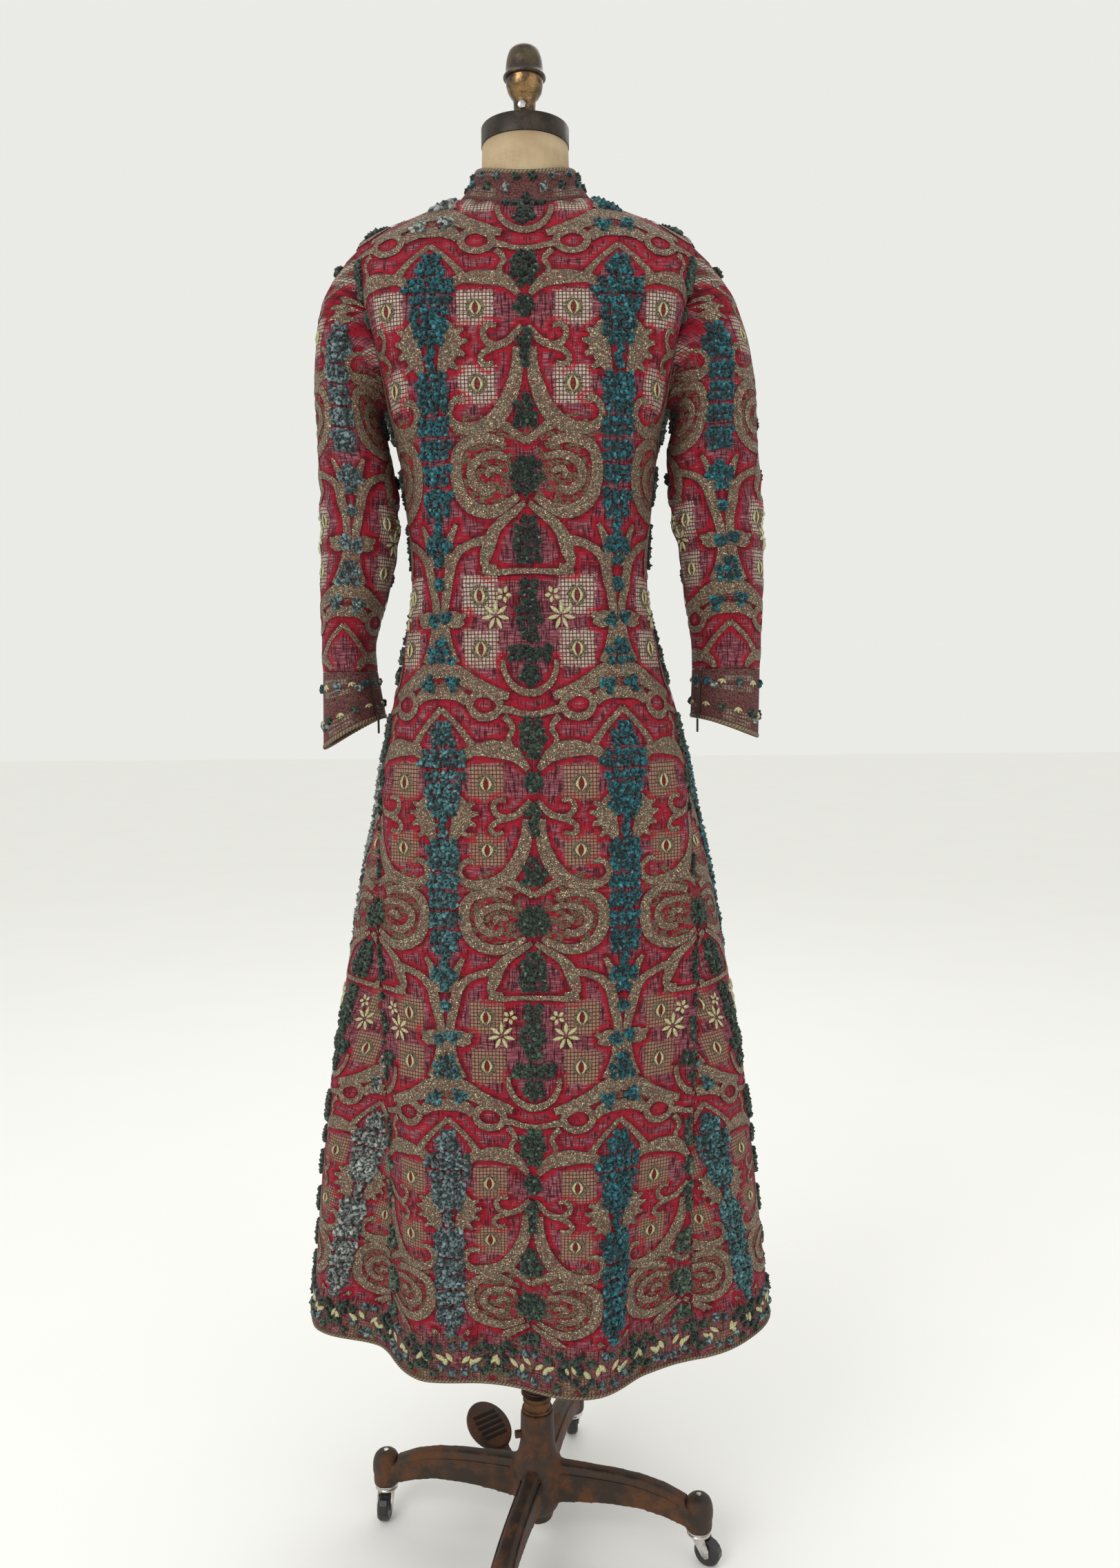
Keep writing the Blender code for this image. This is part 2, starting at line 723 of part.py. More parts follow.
def make_cuff_zip(side, group):
    """The closed chain of the cuff's zip, its slider at the cuff's edge and the hanging pull tab."""
    half = zip_half_turn(ZIP_WIDTH)
    phases, shares = (ZIP_ANGLE - half, ZIP_ANGLE + half), (0.01, 0.25, 0.5, 0.75, 0.893)
    outer = [[cuff_point(side, s, ph, -0.0004) for ph in phases] for s in shares]
    inner = [[cuff_point(side, s, ph, -CLOTH) for ph in phases] for s in shares]
    wall(f"zip_chain_{side}", outer, inner, group, "zip_metal")

    middle = cuff_point(side, SLIDER_SHARE, ZIP_ANGLE, 0.0004)
    beside = cuff_point(side, SLIDER_SHARE, ZIP_ANGLE + 3, 0.0004)
    across = beside - middle
    across.z = 0.0
    across = across.normalized() * -SIDE_SIGN[side]
    out = Vector((0, 0, 1)).cross(across)
    frame = Matrix((across, out, Vector((0, 0, 1)))).transposed()
    body = block(f"zip_slider_{side}", (0.0034, 0.0034, 0.0060), group, "zip_metal")
    body.matrix_world = Matrix.Translation(middle) @ frame.to_4x4()
    tab = block(f"zip_pull_{side}", (0.0030, 0.0010, 0.0160), group, "zip_metal")
    hang = middle + Vector((0, 0, -0.0030 - CORE - 0.0080)) + out * 0.0006
    tab.matrix_world = Matrix.Translation(hang) @ frame.to_4x4()


def block(name, size, group, finish):
    shape = bmesh.new()
    bmesh.ops.create_cube(shape, size=1.0, matrix=Matrix.Diagonal((*size, 1.0)))
    mesh = bpy.data.meshes.new(name)
    shape.to_mesh(mesh)
    shape.free()
    return mesh_object(name, mesh, group, finish)


FORM_COLUMNS = 40
RESTING_ROWS = (1.2, 1.9)
FORM_ROWS = (0.0, 0.6, 1.2, 1.9, 2.5, 3.0, *ARMHOLE_ROWS[1::2], 6.0, 6.8, 7.5, 8.2, 9.0, 9.8, FORM_BOTTOM_ROW)
NeckRing = namedtuple("NeckRing", "z radius back_drop front_drop")
NECK_RINGS = (
    NeckRing(NECK_TOP, NECK_RADIUS, 0.000, 0.000),
    NeckRing(1.6300, NECK_RADIUS + 0.0008, 0.008, 0.030),
    NeckRing(1.6120, NECK_RADIUS + 0.0030, 0.020, 0.060),
)


def form_clearance(row, angle):
    """How far the form lies inside the robe's outer surface: it carries the shoulder seams."""
    if abs(abs(angle) - 90) < 1 and RESTING_ROWS[0] <= row <= RESTING_ROWS[1]:
        return CLOTH + 2.4 * CORE
    loose = ease((row - 2.6) / 4.0)
    return CLOTH + FORM_SHOULDER_CLEARANCE + (FORM_CLEARANCE - FORM_SHOULDER_CLEARANCE) * loose


def make_form(group):
    """The padded body: hips, waist, bust, shoulders and neck in one limbless solid."""
    angles = [360 * i / FORM_COLUMNS - 180 for i in range(FORM_COLUMNS)]
    rings = []
    for neck in NECK_RINGS:
        ring = []
        for angle in angles:
            turn = math.radians(angle)
            drop = (neck.back_drop if math.cos(turn) > 0 else neck.front_drop) * math.cos(turn) ** 2
            x = RINGS[0].centre_x + neck.radius * math.sin(turn)
            ring.append(Vector((x, -neck.radius * math.cos(turn), neck.z - drop)))
        rings.append(ring)
    for row in FORM_ROWS:
        rings.append([cloth_point(row, angle, -form_clearance(row, angle)) for angle in angles])
    bottom = min(p.z for p in rings[-1])
    rings[-1] = [Vector((p.x, p.y, bottom)) for p in rings[-1]]
    loft("form_body", rings, group, "linen")
    return bottom


def make_neck_cap(group):
    centre = (RINGS[0].centre_x, 0.0, 0.0)
    radius = NECK_RADIUS + 0.0008
    cap_foot = NECK_TOP + CORE
    cap = turned(
        "neck_cap",
        [
            (0.0, CAP_TOP),
            (radius - 0.002, CAP_TOP),
            (radius, CAP_TOP - 0.002),
            (radius, cap_foot),
            (0.0, cap_foot),
        ],
        group,
        "dark_metal",
        steps=32,
    )
    cap.location = centre
    foot = CAP_TOP + CORE
    finial = turned(
        "finial",
        [
            (0.0, 1.7700),
            (0.0090, 1.7692),
            (0.0165, 1.7650),
            (0.0192, 1.7580),
            (0.0208, 1.7480),
            (0.0212, 1.7430),
            (0.0240, 1.7400),
            (0.0240, 1.7370),
            (0.0208, 1.7350),
            (0.0206, 1.7290),
            (0.0190, 1.7210),
            (0.0150, 1.7150),
            (0.0128, 1.7120),
            (0.0125, foot + 0.003),
            (0.0140, foot),
            (0.0, foot),
        ],
        group,
        "aged_brass",
    )
    finial.location = centre
    screw = turned(
        "finial_screw",
        [(0.0, 0.0022), (0.0040, 0.0016), (0.0048, 0.0), (0.0, 0.0)],
        group,
        "chrome",
        steps=12,
    )
    screw.rotation_euler = (math.radians(90), 0.0, 0.0)
    screw.location = (RINGS[0].centre_x - 0.003, -0.0128, 1.7025)


def make_post(form_bottom, group):
    top = form_bottom - CORE
    turned(
        "post",
        [
            (0.0, top),
            (0.042, top),
            (0.042, top - 0.004),
            (0.018, top - 0.010),
            (POST_RADIUS, top - 0.016),
            (POST_RADIUS, POST_FOOT),
            (0.0, POST_FOOT),
        ],
        group,
        "dark_metal",
    )


def make_hub(group):
    bore = POST_RADIUS + 0.0006
    turned(
        "hub",
        [
            (0.0, HUB_FOOT),
            (bore, HUB_FOOT),
            (bore, HUB_TOP),
            (0.0190, HUB_TOP),
            (0.0205, HUB_TOP - 0.003),
            (0.0215, 0.125),
            (0.0250, 0.110),
            (HUB_RADIUS, 0.100),
            (HUB_RADIUS, 0.055),
            (0.0250, 0.042),
            (0.0205, 0.038),
            (0.0180, 0.026),
            (0.0, 0.024),
        ],
        group,
        "rusted_iron",
    )
    lip = HUB_TOP + CORE
    rim = lip + COLLAR_NUT_HEIGHT
    turned(
        "hub_collar",
        [
            (0.0185, rim),
            (0.0195, rim - 0.006),
            (0.0175, rim - 0.009),
            (0.0205, rim - 0.012),
            (0.0205, lip),
            (bore, lip),
            (bore, rim),
        ],
        group,
        "rusted_iron",
    )
    clip = rim + CORE
    turned(
        "hub_clip",
        [
            (bore + 0.0020, clip + 0.0050),
            (bore + 0.0042, clip + 0.0025),
            (bore + 0.0020, clip),
            (bore, clip + 0.0025),
        ],
        group,
        "dark_metal",
    )


LegSection = namedtuple("LegSection", "reach top foot half_width")
LEG_SECTIONS = (
    LegSection(HUB_RADIUS + CORE, 0.1020, 0.0545, 0.0135),
    LegSection(0.055, 0.1015, 0.0580, 0.0125),
    LegSection(0.095, 0.1005, 0.0615, 0.0120),
    LegSection(0.130, 0.0970, 0.0610, 0.0120),
    LegSection(0.160, 0.0895, 0.0550, 0.0125),
    LegSection(0.185, 0.0780, 0.0470, 0.0130),
    LegSection(0.197, 0.0720, 0.0440, 0.0130),
)


def leg_mesh(group):
    rings = []
    for section in LEG_SECTIONS:
        rise = section.top - section.foot
        half, shoulder = section.half_width, section.top - 0.28 * rise
        outline = (
            (-half * 0.55, section.top),
            (half * 0.55, section.top),
            (half, shoulder),
            (half * 0.92, section.foot),
            (-half * 0.92, section.foot),
            (-half, shoulder),
        )
        rings.append([Vector((section.reach, y, z)) for y, z in outline])
    arm = loft("leg_arm", rings, group, "rusted_iron")
    foot = CASTER_TOP + CORE
    end = turned(
        "leg_end",
        [
            (0.0, 0.0870),
            (0.0070, 0.0858),
            (0.0130, 0.0815),
            (0.0160, 0.0740),
            (0.0165, 0.0640),
            (0.0165, foot),
            (0.0, foot),
        ],
        group,
        "rusted_iron",
        steps=16,
    )
    end.location = (LEG_REACH, 0, 0)
    made = joined("leg", [arm, end], group, "rusted_iron")
    mesh = made.data
    bpy.data.objects.remove(made)
    return mesh


def fork_mesh(group):
    """A swivel fork with its stem on the local origin and its axle behind it, at +X."""
    top = CASTER_TOP
    cup = turned(
        "fork_cup",
        [(0.0, top), (0.0110, top), (0.0135, top - 0.002), (0.0135, top - 0.0055), (0.0, top - 0.0055)],
        group,
        "chrome",
        steps=16,
    )
    inside = WHEEL_WIDTH / 2 + 0.0007
    cheeks = []
    outline = (
        (-0.0080, 0.0372),
        (0.0090, 0.0372),
        (0.0165, 0.0230),
        (0.0165, 0.0140),
        (0.0120, 0.0110),
        (0.0075, 0.0140),
    )
    for side in (-1, 1):
        near, far = side * inside, side * (inside + 0.0015)
        rings = [[Vector((x, y, z)) for x, z in outline] for y in (near, far)]
        cheeks.append(loft("fork_cheek", rings, group, "chrome"))
    made = joined("fork", [cup, *cheeks], group, "chrome")
    mesh = made.data
    bpy.data.objects.remove(made)
    return mesh


def wheel_mesh(group):
    """A castor wheel about Z, with a flat of its tread facing down once it is stood up."""
    steps = 16
    round_up = 1 / math.cos(math.pi / steps)
    half, boss = WHEEL_WIDTH / 2 - 0.0003, WHEEL_WIDTH / 2 + 0.0004
    radius = WHEEL_RADIUS * round_up
    wheel = turned(
        "wheel",
        [
            (0.0, boss),
            (0.0045, boss),
            (0.0048, half),
            (radius * 0.86, half),
            (radius, half * 0.62),
            (radius, -half * 0.62),
            (radius * 0.86, -half),
            (0.0048, -half),
            (0.0045, -boss),
            (0.0, -boss),
        ],
        group,
        "tyre",
        steps=steps,
    )
    mesh = finished_mesh(wheel)
    mesh.transform(Matrix.Rotation(math.pi / steps, 4, "Z"))
    return mesh


# Legs by direction from the post, and the way each castor trails
Leg = namedtuple("Leg", "turn trail_turn")
LEGS = {
    "right": Leg(BASE_TURN, -30),
    "rear": Leg(BASE_TURN + 90, 95),
    "left": Leg(BASE_TURN + 180, -95),
    "front": Leg(BASE_TURN + 270, -125),
}


def make_base(group):
    make_hub(group)
    leg, fork, wheel = leg_mesh(group), fork_mesh(group), wheel_mesh(group)
    for name, place in LEGS.items():
        turn = math.radians(place.turn)
        leg_object = mesh_object(f"leg_{name}", leg, group, "rusted_iron")
        leg_object.rotation_euler = (0, 0, turn)
        stem = Vector((LEG_REACH * math.cos(turn), LEG_REACH * math.sin(turn), 0))
        trail = math.radians(place.trail_turn)
        fork_object = mesh_object(f"fork_{name}", fork, group, "chrome")
        fork_object.location = stem
        fork_object.rotation_euler = (0, 0, trail)
        axle = stem + Vector((TRAIL * math.cos(trail), TRAIL * math.sin(trail), WHEEL_RADIUS))
        wheel_object = mesh_object(f"wheel_{name}", wheel, group, "tyre")
        wheel_object.matrix_world = (
            Matrix.Translation(axle)
            @ Matrix.Rotation(trail, 4, "Z")
            @ Matrix.Rotation(math.radians(90), 4, "X")
        )


# Height pedal
PEDAL_TURN = 127.0
PEDAL_PIVOT = (0.0382, 0.0, 0.0700)
PAD_CENTRE = (0.108, 0.0, 0.0870)
PAD_TILT = -24.0
PAD_OUTLINE = (
    (-0.028, -0.012),
    (-0.022, -0.019),
    (0.016, -0.023),
    (0.026, -0.016),
    (0.026, 0.016),
    (0.016, 0.023),
    (-0.022, 0.019),
    (-0.028, 0.012),
)
PAD_HALF_HEIGHT = 0.003
PAD_SLOTS = 4
PAD_SLOT_PITCH = 0.0090
PEDAL_BOSS_RADIUS = 0.0080
PEDAL_BOSS_HALF = 0.0090
ArmSection = namedtuple("ArmSection", "reach z half_width half_height")
PEDAL_ARM = (
    ArmSection(0.0385, 0.0700, 0.0075, 0.0055),
    ArmSection(0.0580, 0.0660, 0.0070, 0.0050),
    ArmSection(0.0740, 0.0700, 0.0085, 0.0045),
    ArmSection(0.0900, 0.0790, 0.0130, 0.0035),
)


def make_pedal(group):
    turn = Matrix.Rotation(math.radians(PEDAL_TURN), 4, "Z")
    radius, half = PEDAL_BOSS_RADIUS, PEDAL_BOSS_HALF
    boss_profile = [(0.0, half), (radius, half), (radius, -half), (0.0, -half)]
    boss = turned("pedal_boss", boss_profile, group, "rusted_iron", 16)
    boss.matrix_world = turn @ Matrix.Translation(PEDAL_PIVOT) @ Matrix.Rotation(math.radians(90), 4, "X")
    rings = []
    for section in PEDAL_ARM:
        wide, high = section.half_width, section.half_height
        corners = ((-wide, -high), (wide, -high), (wide, high), (-wide, high))
        rings.append([Vector((section.reach, y, section.z + z)) for y, z in corners])
    arm = loft("pedal_arm", rings, group, "rusted_iron")
    arm.matrix_world = turn
    heights = (-PAD_HALF_HEIGHT, PAD_HALF_HEIGHT)
    faces = [[Vector((x, y, z)) for x, y in PAD_OUTLINE] for z in heights]
    pad = loft("pedal_pad", faces, group, "rusted_iron")
    tilt = turn @ Matrix.Translation(PAD_CENTRE) @ Matrix.Rotation(math.radians(PAD_TILT), 4, "Y")
    pad.matrix_world = tilt
    pedal = joined("pedal", [pad, arm, boss], group, "rusted_iron")
    cutters = collection_named("cutters")
    for i in range(PAD_SLOTS):
        slot = block(f"slot_{i}", (0.0045, 0.0260, 0.0200), cutters, "rusted_iron")
        slot.matrix_world = tilt @ Matrix.Translation((-0.0095 + PAD_SLOT_PITCH * i, 0, 0))
        slot.hide_render = True
        slot.display_type = "WIRE"
        cut = pedal.modifiers.new("slot", "BOOLEAN")
        cut.operation = "DIFFERENCE"
        cut.solver = "EXACT"
        cut.object = slot


def main():
    clear_scene()
    group = collection_named("robe_on_dress_form")
    rows = body_rows()
    make_back(rows, group)
    for side in SIDE_SIGN:
        make_front(side, rows, group)
        make_front_braid(side, rows, group)
        make_sleeve(side, group)
        make_cuff(side, group)
        make_cuff_zip(side, group)
    make_hem_braid(group)
    make_collar(group)
    form_bottom = make_form(group)
    make_neck_cap(group)
    make_post(form_bottom, group)
    make_base(group)
    make_pedal(group)


main()
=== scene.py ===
"""A long fitted brocade robe on a castored dress form, dressed for its picture.

Units are metres and +Z is up. The robe's back faces -Y, and +X is the wearer's right.
"""

import logging
import math
from dataclasses import dataclass
from enum import Enum
from typing import Callable, Iterable, Optional, Sequence

import bmesh
import bpy
import numpy as np
from mathutils import Matrix, Vector


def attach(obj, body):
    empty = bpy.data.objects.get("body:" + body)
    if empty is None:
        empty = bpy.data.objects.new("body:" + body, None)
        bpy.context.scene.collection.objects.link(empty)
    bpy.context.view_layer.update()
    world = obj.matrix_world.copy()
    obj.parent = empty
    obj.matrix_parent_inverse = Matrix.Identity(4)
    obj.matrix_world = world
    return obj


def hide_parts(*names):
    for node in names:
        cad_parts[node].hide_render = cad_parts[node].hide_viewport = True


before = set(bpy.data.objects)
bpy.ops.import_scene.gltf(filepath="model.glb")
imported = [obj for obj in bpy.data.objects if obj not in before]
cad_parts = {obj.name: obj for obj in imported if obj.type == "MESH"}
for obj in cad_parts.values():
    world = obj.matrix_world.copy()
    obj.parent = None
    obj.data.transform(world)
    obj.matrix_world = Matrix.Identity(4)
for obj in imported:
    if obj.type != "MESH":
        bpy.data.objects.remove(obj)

logging.basicConfig(level=logging.INFO, format="%(message)s")
LOG = logging.getLogger("robe")

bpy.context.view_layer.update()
MAST = "mast"

# Cloth and edging
CLOTH = 0.0018
BRAID_WIDTH = 0.0055
FRONT_GAP = 0.0030

# Distance between the ornament's columns, length of its repeat and top of the hem border
SPACING = 0.100
REPEAT_METRES = 0.465
BORDER_TOP = 0.353
# Heights on the robe of places in the ornament, counted in repeats
PATTERN = np.array(
    (
        (0.2300, 2.960), (0.3940, 2.514), (0.4620, 2.328), (0.5230, 2.157), (0.5920, 2.000), (0.8063, 1.514),
        (0.8814, 1.328), (0.9515, 1.157), (1.0330, 1.000), (1.1556, 0.749), (1.2384, 0.596), (1.2846, 0.514),
        (1.3745, 0.328), (1.4518, 0.157), (1.5215, 0.000), (1.7169, -0.400),
    )
)

SIDE_SIGN = {"left": -1, "right": 1}

# Outer surface of the robe, from the neckline seam down to the hem:
# side_z back_z front_z half_width side_y back_y front_y centre_x squareness seam_angle
RINGS = np.array(
    (
        (1.600, 1.578, 1.530, 0.076, 0.000, -0.062, 0.066, 0.002, 0.00, 90),
        (1.586, 1.562, 1.502, 0.112, -0.002, -0.081, 0.086, 0.002, 0.02, 90),
        (1.568, 1.534, 1.466, 0.152, -0.004, -0.098, 0.104, 0.002, 0.05, 90),
        (1.546, 1.497, 1.425, 0.187, -0.005, -0.112, 0.121, 0.002, 0.08, 90),
        (1.500, 1.455, 1.388, 0.184, -0.004, -0.120, 0.131, 0.002, 0.09, 90),
        (1.440, 1.405, 1.352, 0.171, -0.002, -0.121, 0.136, 0.002, 0.08, 90),
        (1.368, 1.350, 1.312, 0.158, 0.000, -0.115, 0.133, 0.002, 0.06, 90),
        (1.280, 1.275, 1.256, 0.1425, 0.000, -0.100, 0.110, 0.002, 0.05, 90),
        (1.165, 1.165, 1.165, 0.1365, 0.000, -0.086, 0.092, 0.002, 0.04, 90),
        (1.095, 1.095, 1.095, 0.1480, 0.000, -0.100, 0.104, 0.003, 0.04, 86),
        (1.000, 1.000, 1.000, 0.1720, 0.000, -0.121, 0.125, 0.006, 0.04, 76),
        (0.900, 0.900, 0.900, 0.1900, 0.000, -0.135, 0.142, 0.007, 0.04, 63),
        (0.740, 0.740, 0.740, 0.2220, 0.000, -0.150, 0.162, 0.006, 0.03, 51),
        (0.600, 0.600, 0.600, 0.2440, 0.000, -0.162, 0.176, 0.005, 0.02, 45),
        (0.450, 0.450, 0.450, 0.2590, 0.000, -0.173, 0.188, 0.003, 0.01, 43),
        (0.300, 0.300, 0.300, 0.2730, 0.000, -0.182, 0.198, 0.002, 0.00, 42),
    )
)
SHOULDER_TIP = 3
UNDERARM = 6
HEM = len(RINGS) - 1

# Folds that open towards the hem: angle half_width depth start_z
FOLDS = (
    (11, 17, 0.020, 0.80),
    (-12, 17, -0.012, 0.75),
    (-50, 25, -0.040, 0.98),
    (37, 24, -0.015, 0.95),
    (80, 24, 0.009, 0.80),
    (-104, 24, 0.010, 0.80),
    (118, 20, -0.012, 0.85),
    (141, 20, 0.012, 0.80),
    (163, 18, -0.012, 0.70),
    (-129, 20, -0.014, 0.85),
    (-148, 20, 0.014, 0.80),
    (-168, 14, -0.008, 0.70),
)
BITE_BACK = 25.0
BITE_FRONT = 31.0

# Sleeve rings from the upper arm to the wrist: z outer inner centre_y half_depth
SLEEVES = {
    "left": np.array(
        (
            (1.325, 0.2380, 0.1580, -0.004, 0.066),
            (1.285, 0.2380, 0.1500, -0.002, 0.063),
            (1.245, 0.2385, 0.1490, 0.001, 0.060),
            (1.206, 0.2400, 0.1540, 0.005, 0.056),
            (1.166, 0.2430, 0.1640, 0.011, 0.052),
            (1.126, 0.2445, 0.1785, 0.019, 0.048),
            (1.100, 0.2455, 0.1835, 0.024, 0.046),
            (1.075, 0.2455, 0.1820, 0.028, 0.046),
        )
    ),
    "right": np.array(
        (
            (1.325, 0.2640, 0.1620, -0.004, 0.064),
            (1.285, 0.2690, 0.1630, -0.002, 0.060),
            (1.245, 0.2720, 0.1670, 0.001, 0.057),
            (1.206, 0.2740, 0.1770, 0.005, 0.053),
            (1.166, 0.2740, 0.1820, 0.011, 0.050),
            (1.126, 0.2740, 0.1895, 0.019, 0.047),
            (1.100, 0.2740, 0.1940, 0.024, 0.045),
            (1.075, 0.2740, 0.1940, 0.028, 0.045),
        )
    ),
}
# Cuff edges: outer inner outer_z inner_z centre_y half_depth
CUFF_HEMS = {
    "left": (0.2490, 0.1740, 0.982, 1.020, 0.036, 0.048),
    "right": (0.2740, 0.1930, 0.992, 1.018, 0.036, 0.048),
}
ZIP_ANGLE = 212.0
ZIP_GAP = 0.0046
CUFF_RADIUS = 0.040

# Stand collar from its seam to its top edge: side_z back_z front_z half_width back_y front_y
COLLAR_RINGS = np.array(
    (
        (1.6004, 1.5784, 1.5304, 0.0754, -0.0614, 0.0654),
        (1.6150, 1.5960, 1.5480, 0.0640, -0.0555, 0.0590),
        (1.6265, 1.6105, 1.5640, 0.0585, -0.0535, 0.0560),
        (1.6320, 1.6165, 1.5700, 0.0570, -0.0530, 0.0555),
    )
)
NECK_RADIUS = 0.0487
NECK_TOP = 1.660


def smooth_values(table: np.ndarray, position: np.ndarray) -> np.ndarray:
    """Catmull-Rom values at fractional positions down a table.

    Args:
        table: Rows of values, one row for each whole position.
        position: Positions of any shape, from 0 to the last row.

    Returns:
        Values with the positions' shape and one more axis for the table's columns.
    """
    last = len(table) - 1
    place = np.clip(np.asarray(position, float), 0.0, float(last))
    start = np.minimum(place.astype(int), last - 1)
    t = (place - start)[..., None]
    before = table[np.maximum(start - 1, 0)]
    a, b = table[start], table[start + 1]
    after = table[np.minimum(start + 2, last)]
    slope_a = np.where((start > 0)[..., None], (b - before) / 2, b - a)
    slope_b = np.where((start + 2 <= last)[..., None], (after - a) / 2, b - a)
    return (
        a * (2 * t**3 - 3 * t**2 + 1)
        + b * (3 * t**2 - 2 * t**3)
        + slope_a * (t**3 - 2 * t**2 + t)
        + slope_b * (t**3 - t**2)
    )


def ease(share: np.ndarray) -> np.ndarray:
    """Smooth step from 0 to 1, held outside."""
    held = np.clip(share, 0.0, 1.0)
    return held * held * (3 - 2 * held)


def robe_points(row: np.ndarray, angle: np.ndarray) -> np.ndarray:
    """Points of the robe's outer surface.

    Args:
        row: Positions down the rings.
        angle: Degrees round the body, 0 at the centre back and 180 at the centre front.

    Returns:
        An array of points with the broadcast shape of row and angle.
    """
    row, angle = np.broadcast_arrays(np.asarray(row, float), np.asarray(angle, float))
    ring = smooth_values(RINGS, row)
    side_z, back_z, front_z, half_width, side_y, back_y, front_y, centre_x, k, _ = np.moveaxis(ring, -1, 0)
    turn = np.radians(angle)
    across = (np.sin(turn) + k * np.sin(3 * turn)) / (1 - k)
    along = (np.cos(turn) - k * np.cos(3 * turn)) / (1 - k)
    reach = np.where(along > 0, side_y - back_y, front_y - side_y)
    end_z = np.where(along > 0, back_z, front_z)
    x = centre_x + half_width * across
    y = side_y - reach * along
    z = side_z + (end_z - side_z) * along * along
    out = np.zeros_like(x)
    for middle, half, depth, start in FOLDS:
        away = (angle - middle + 180) % 360 - 180
        bump = np.where(np.abs(away) < half, 0.5 * (1 + np.cos(np.pi * away / half)), 0.0)
        out += depth * bump * ease((start - z) / (start - 0.25))
    bust = np.exp(-(((np.abs(x) - 0.072) / 0.040) ** 2)) * np.exp(-(((z - 1.335) / 0.055) ** 2))
    y = y + np.where(np.abs(angle) >= 90, 0.012 * bust, 0.0)
    return np.stack((x + out * np.sin(turn), y - out * np.cos(turn), z), axis=-1)


def armhole_shape(row: np.ndarray) -> np.ndarray:
    """Share of the armhole's bite at each row."""
    share = np.clip((row - SHOULDER_TIP) / (UNDERARM - SHOULDER_TIP), 0.0, 1.0)
    return (1 - np.abs(2 * share - 1) ** 2.4) ** 0.5


def repeat_of_height(z: np.ndarray) -> np.ndarray:
    """Position in the ornament's repeats of a height at the centre back."""
    return np.interp(z, PATTERN[:, 0], PATTERN[:, 1])


def grid_normals(points: np.ndarray, closed: bool) -> np.ndarray:
    """Outward unit normals of a grid of points round a body.

    Args:
        points: Rows by columns of points, rows running down.
        closed: Whether the last column repeats the first.

    Returns:
        An array of the same shape.
    """
    down = np.gradient(points, axis=0)
    if closed:
        wrapped = np.concatenate((points[:, -2:-1], points, points[:, 1:2]), axis=1)
        around = (wrapped[:, 2:] - wrapped[:, :-2]) / 2
    else:
        around = np.gradient(points, axis=1)
    normal = np.cross(down, around)
    normal /= np.linalg.norm(normal, axis=-1, keepdims=True) + 1e-12
    middle = points.mean(axis=(0, 1))
    middle = np.array((middle[0] * 0.0 if not closed else middle[0], 0.0 if not closed else middle[1], 0.0))
    flat = points - middle
    flat[..., 2] = 0.0
    if (normal * flat).sum(axis=-1).mean() < 0:
        normal = -normal
    return normal


@dataclass
class Panel:
    """A cut piece of cloth as a grid, with its place in the ornament.

    Attributes:
        name: Name of the cut piece.
        points: Rows by columns of points on its outer face.
        normals: Outward normals of the same shape.
        across: Distance across the pattern at each point.
        down: Position in repeats down the pattern at each point.
        closed: Whether the last column repeats the first.
    """

    name: str
    points: np.ndarray
    normals: np.ndarray
    across: np.ndarray
    down: np.ndarray
    closed: bool = False

    def sample(self, table: np.ndarray, i: np.ndarray, j: np.ndarray) -> np.ndarray:
        """Bilinear values of a grid at fractional rows and columns."""
        rows, columns = table.shape[:2]
        i0 = np.clip(i.astype(int), 0, rows - 2)
        j0 = np.clip(j.astype(int), 0, columns - 2)
        u, v = i - i0, j - j0
        if table.ndim == 3:
            u, v = u[..., None], v[..., None]
        top = table[i0, j0] * (1 - v) + table[i0, j0 + 1] * v
        foot = table[i0 + 1, j0] * (1 - v) + table[i0 + 1, j0 + 1] * v
        return top * (1 - u) + foot * u

    def locate(self, across: np.ndarray, down: np.ndarray) -> tuple[np.ndarray, np.ndarray, np.ndarray]:
        """Fractional rows and columns of pattern positions, and which lie on the piece."""
        across, down = np.broadcast_arrays(np.asarray(across, float), np.asarray(down, float))
        rows, columns = self.down.shape
        left, right = self.across[:, 0], self.across[:, -1]
        numbers = np.arange(rows, dtype=float)
        middle = self.down[:, columns // 2]
        i = np.interp(down, middle, numbers)
        slope = np.gradient(self.down, axis=0)
        for _ in range(6):
            low = np.interp(i, numbers, left)
            high = np.interp(i, numbers, right)
            j = np.clip((across - low) / (high - low), 0.0, 1.0) * (columns - 1)
            error = down - self.sample(self.down, i, j)
            i = np.clip(i + error / self.sample(slope, i, j), 0.0, rows - 1.0)
        low = np.interp(i, numbers, left)
        high = np.interp(i, numbers, right)
        share = (across - low) / (high - low)
        j = np.clip(share, 0.0, 1.0) * (columns - 1)
        error = down - self.sample(self.down, i, j)
        inside = (share >= 0) & (share <= 1) & (np.abs(error) < 0.004)
        return i, j, inside

    def place(
        self, across: np.ndarray, down: np.ndarray, out: np.ndarray | float
    ) -> tuple[np.ndarray, np.ndarray, np.ndarray]:
        """Points over the cloth at pattern positions.

        Args:
            across: Distances across the pattern.
            down: Positions in repeats.
            out: Heights over the cloth.

        Returns:
            Points, normals and which of them lie on the piece.
        """
        i, j, inside = self.locate(across, down)
        points, normals = self.sample(self.points, i, j), self.sample(self.normals, i, j)
        normals /= np.linalg.norm(normals, axis=-1, keepdims=True) + 1e-12
        height = np.broadcast_to(np.asarray(out, float), inside.shape)[..., None]
        return points + normals * height, normals, inside


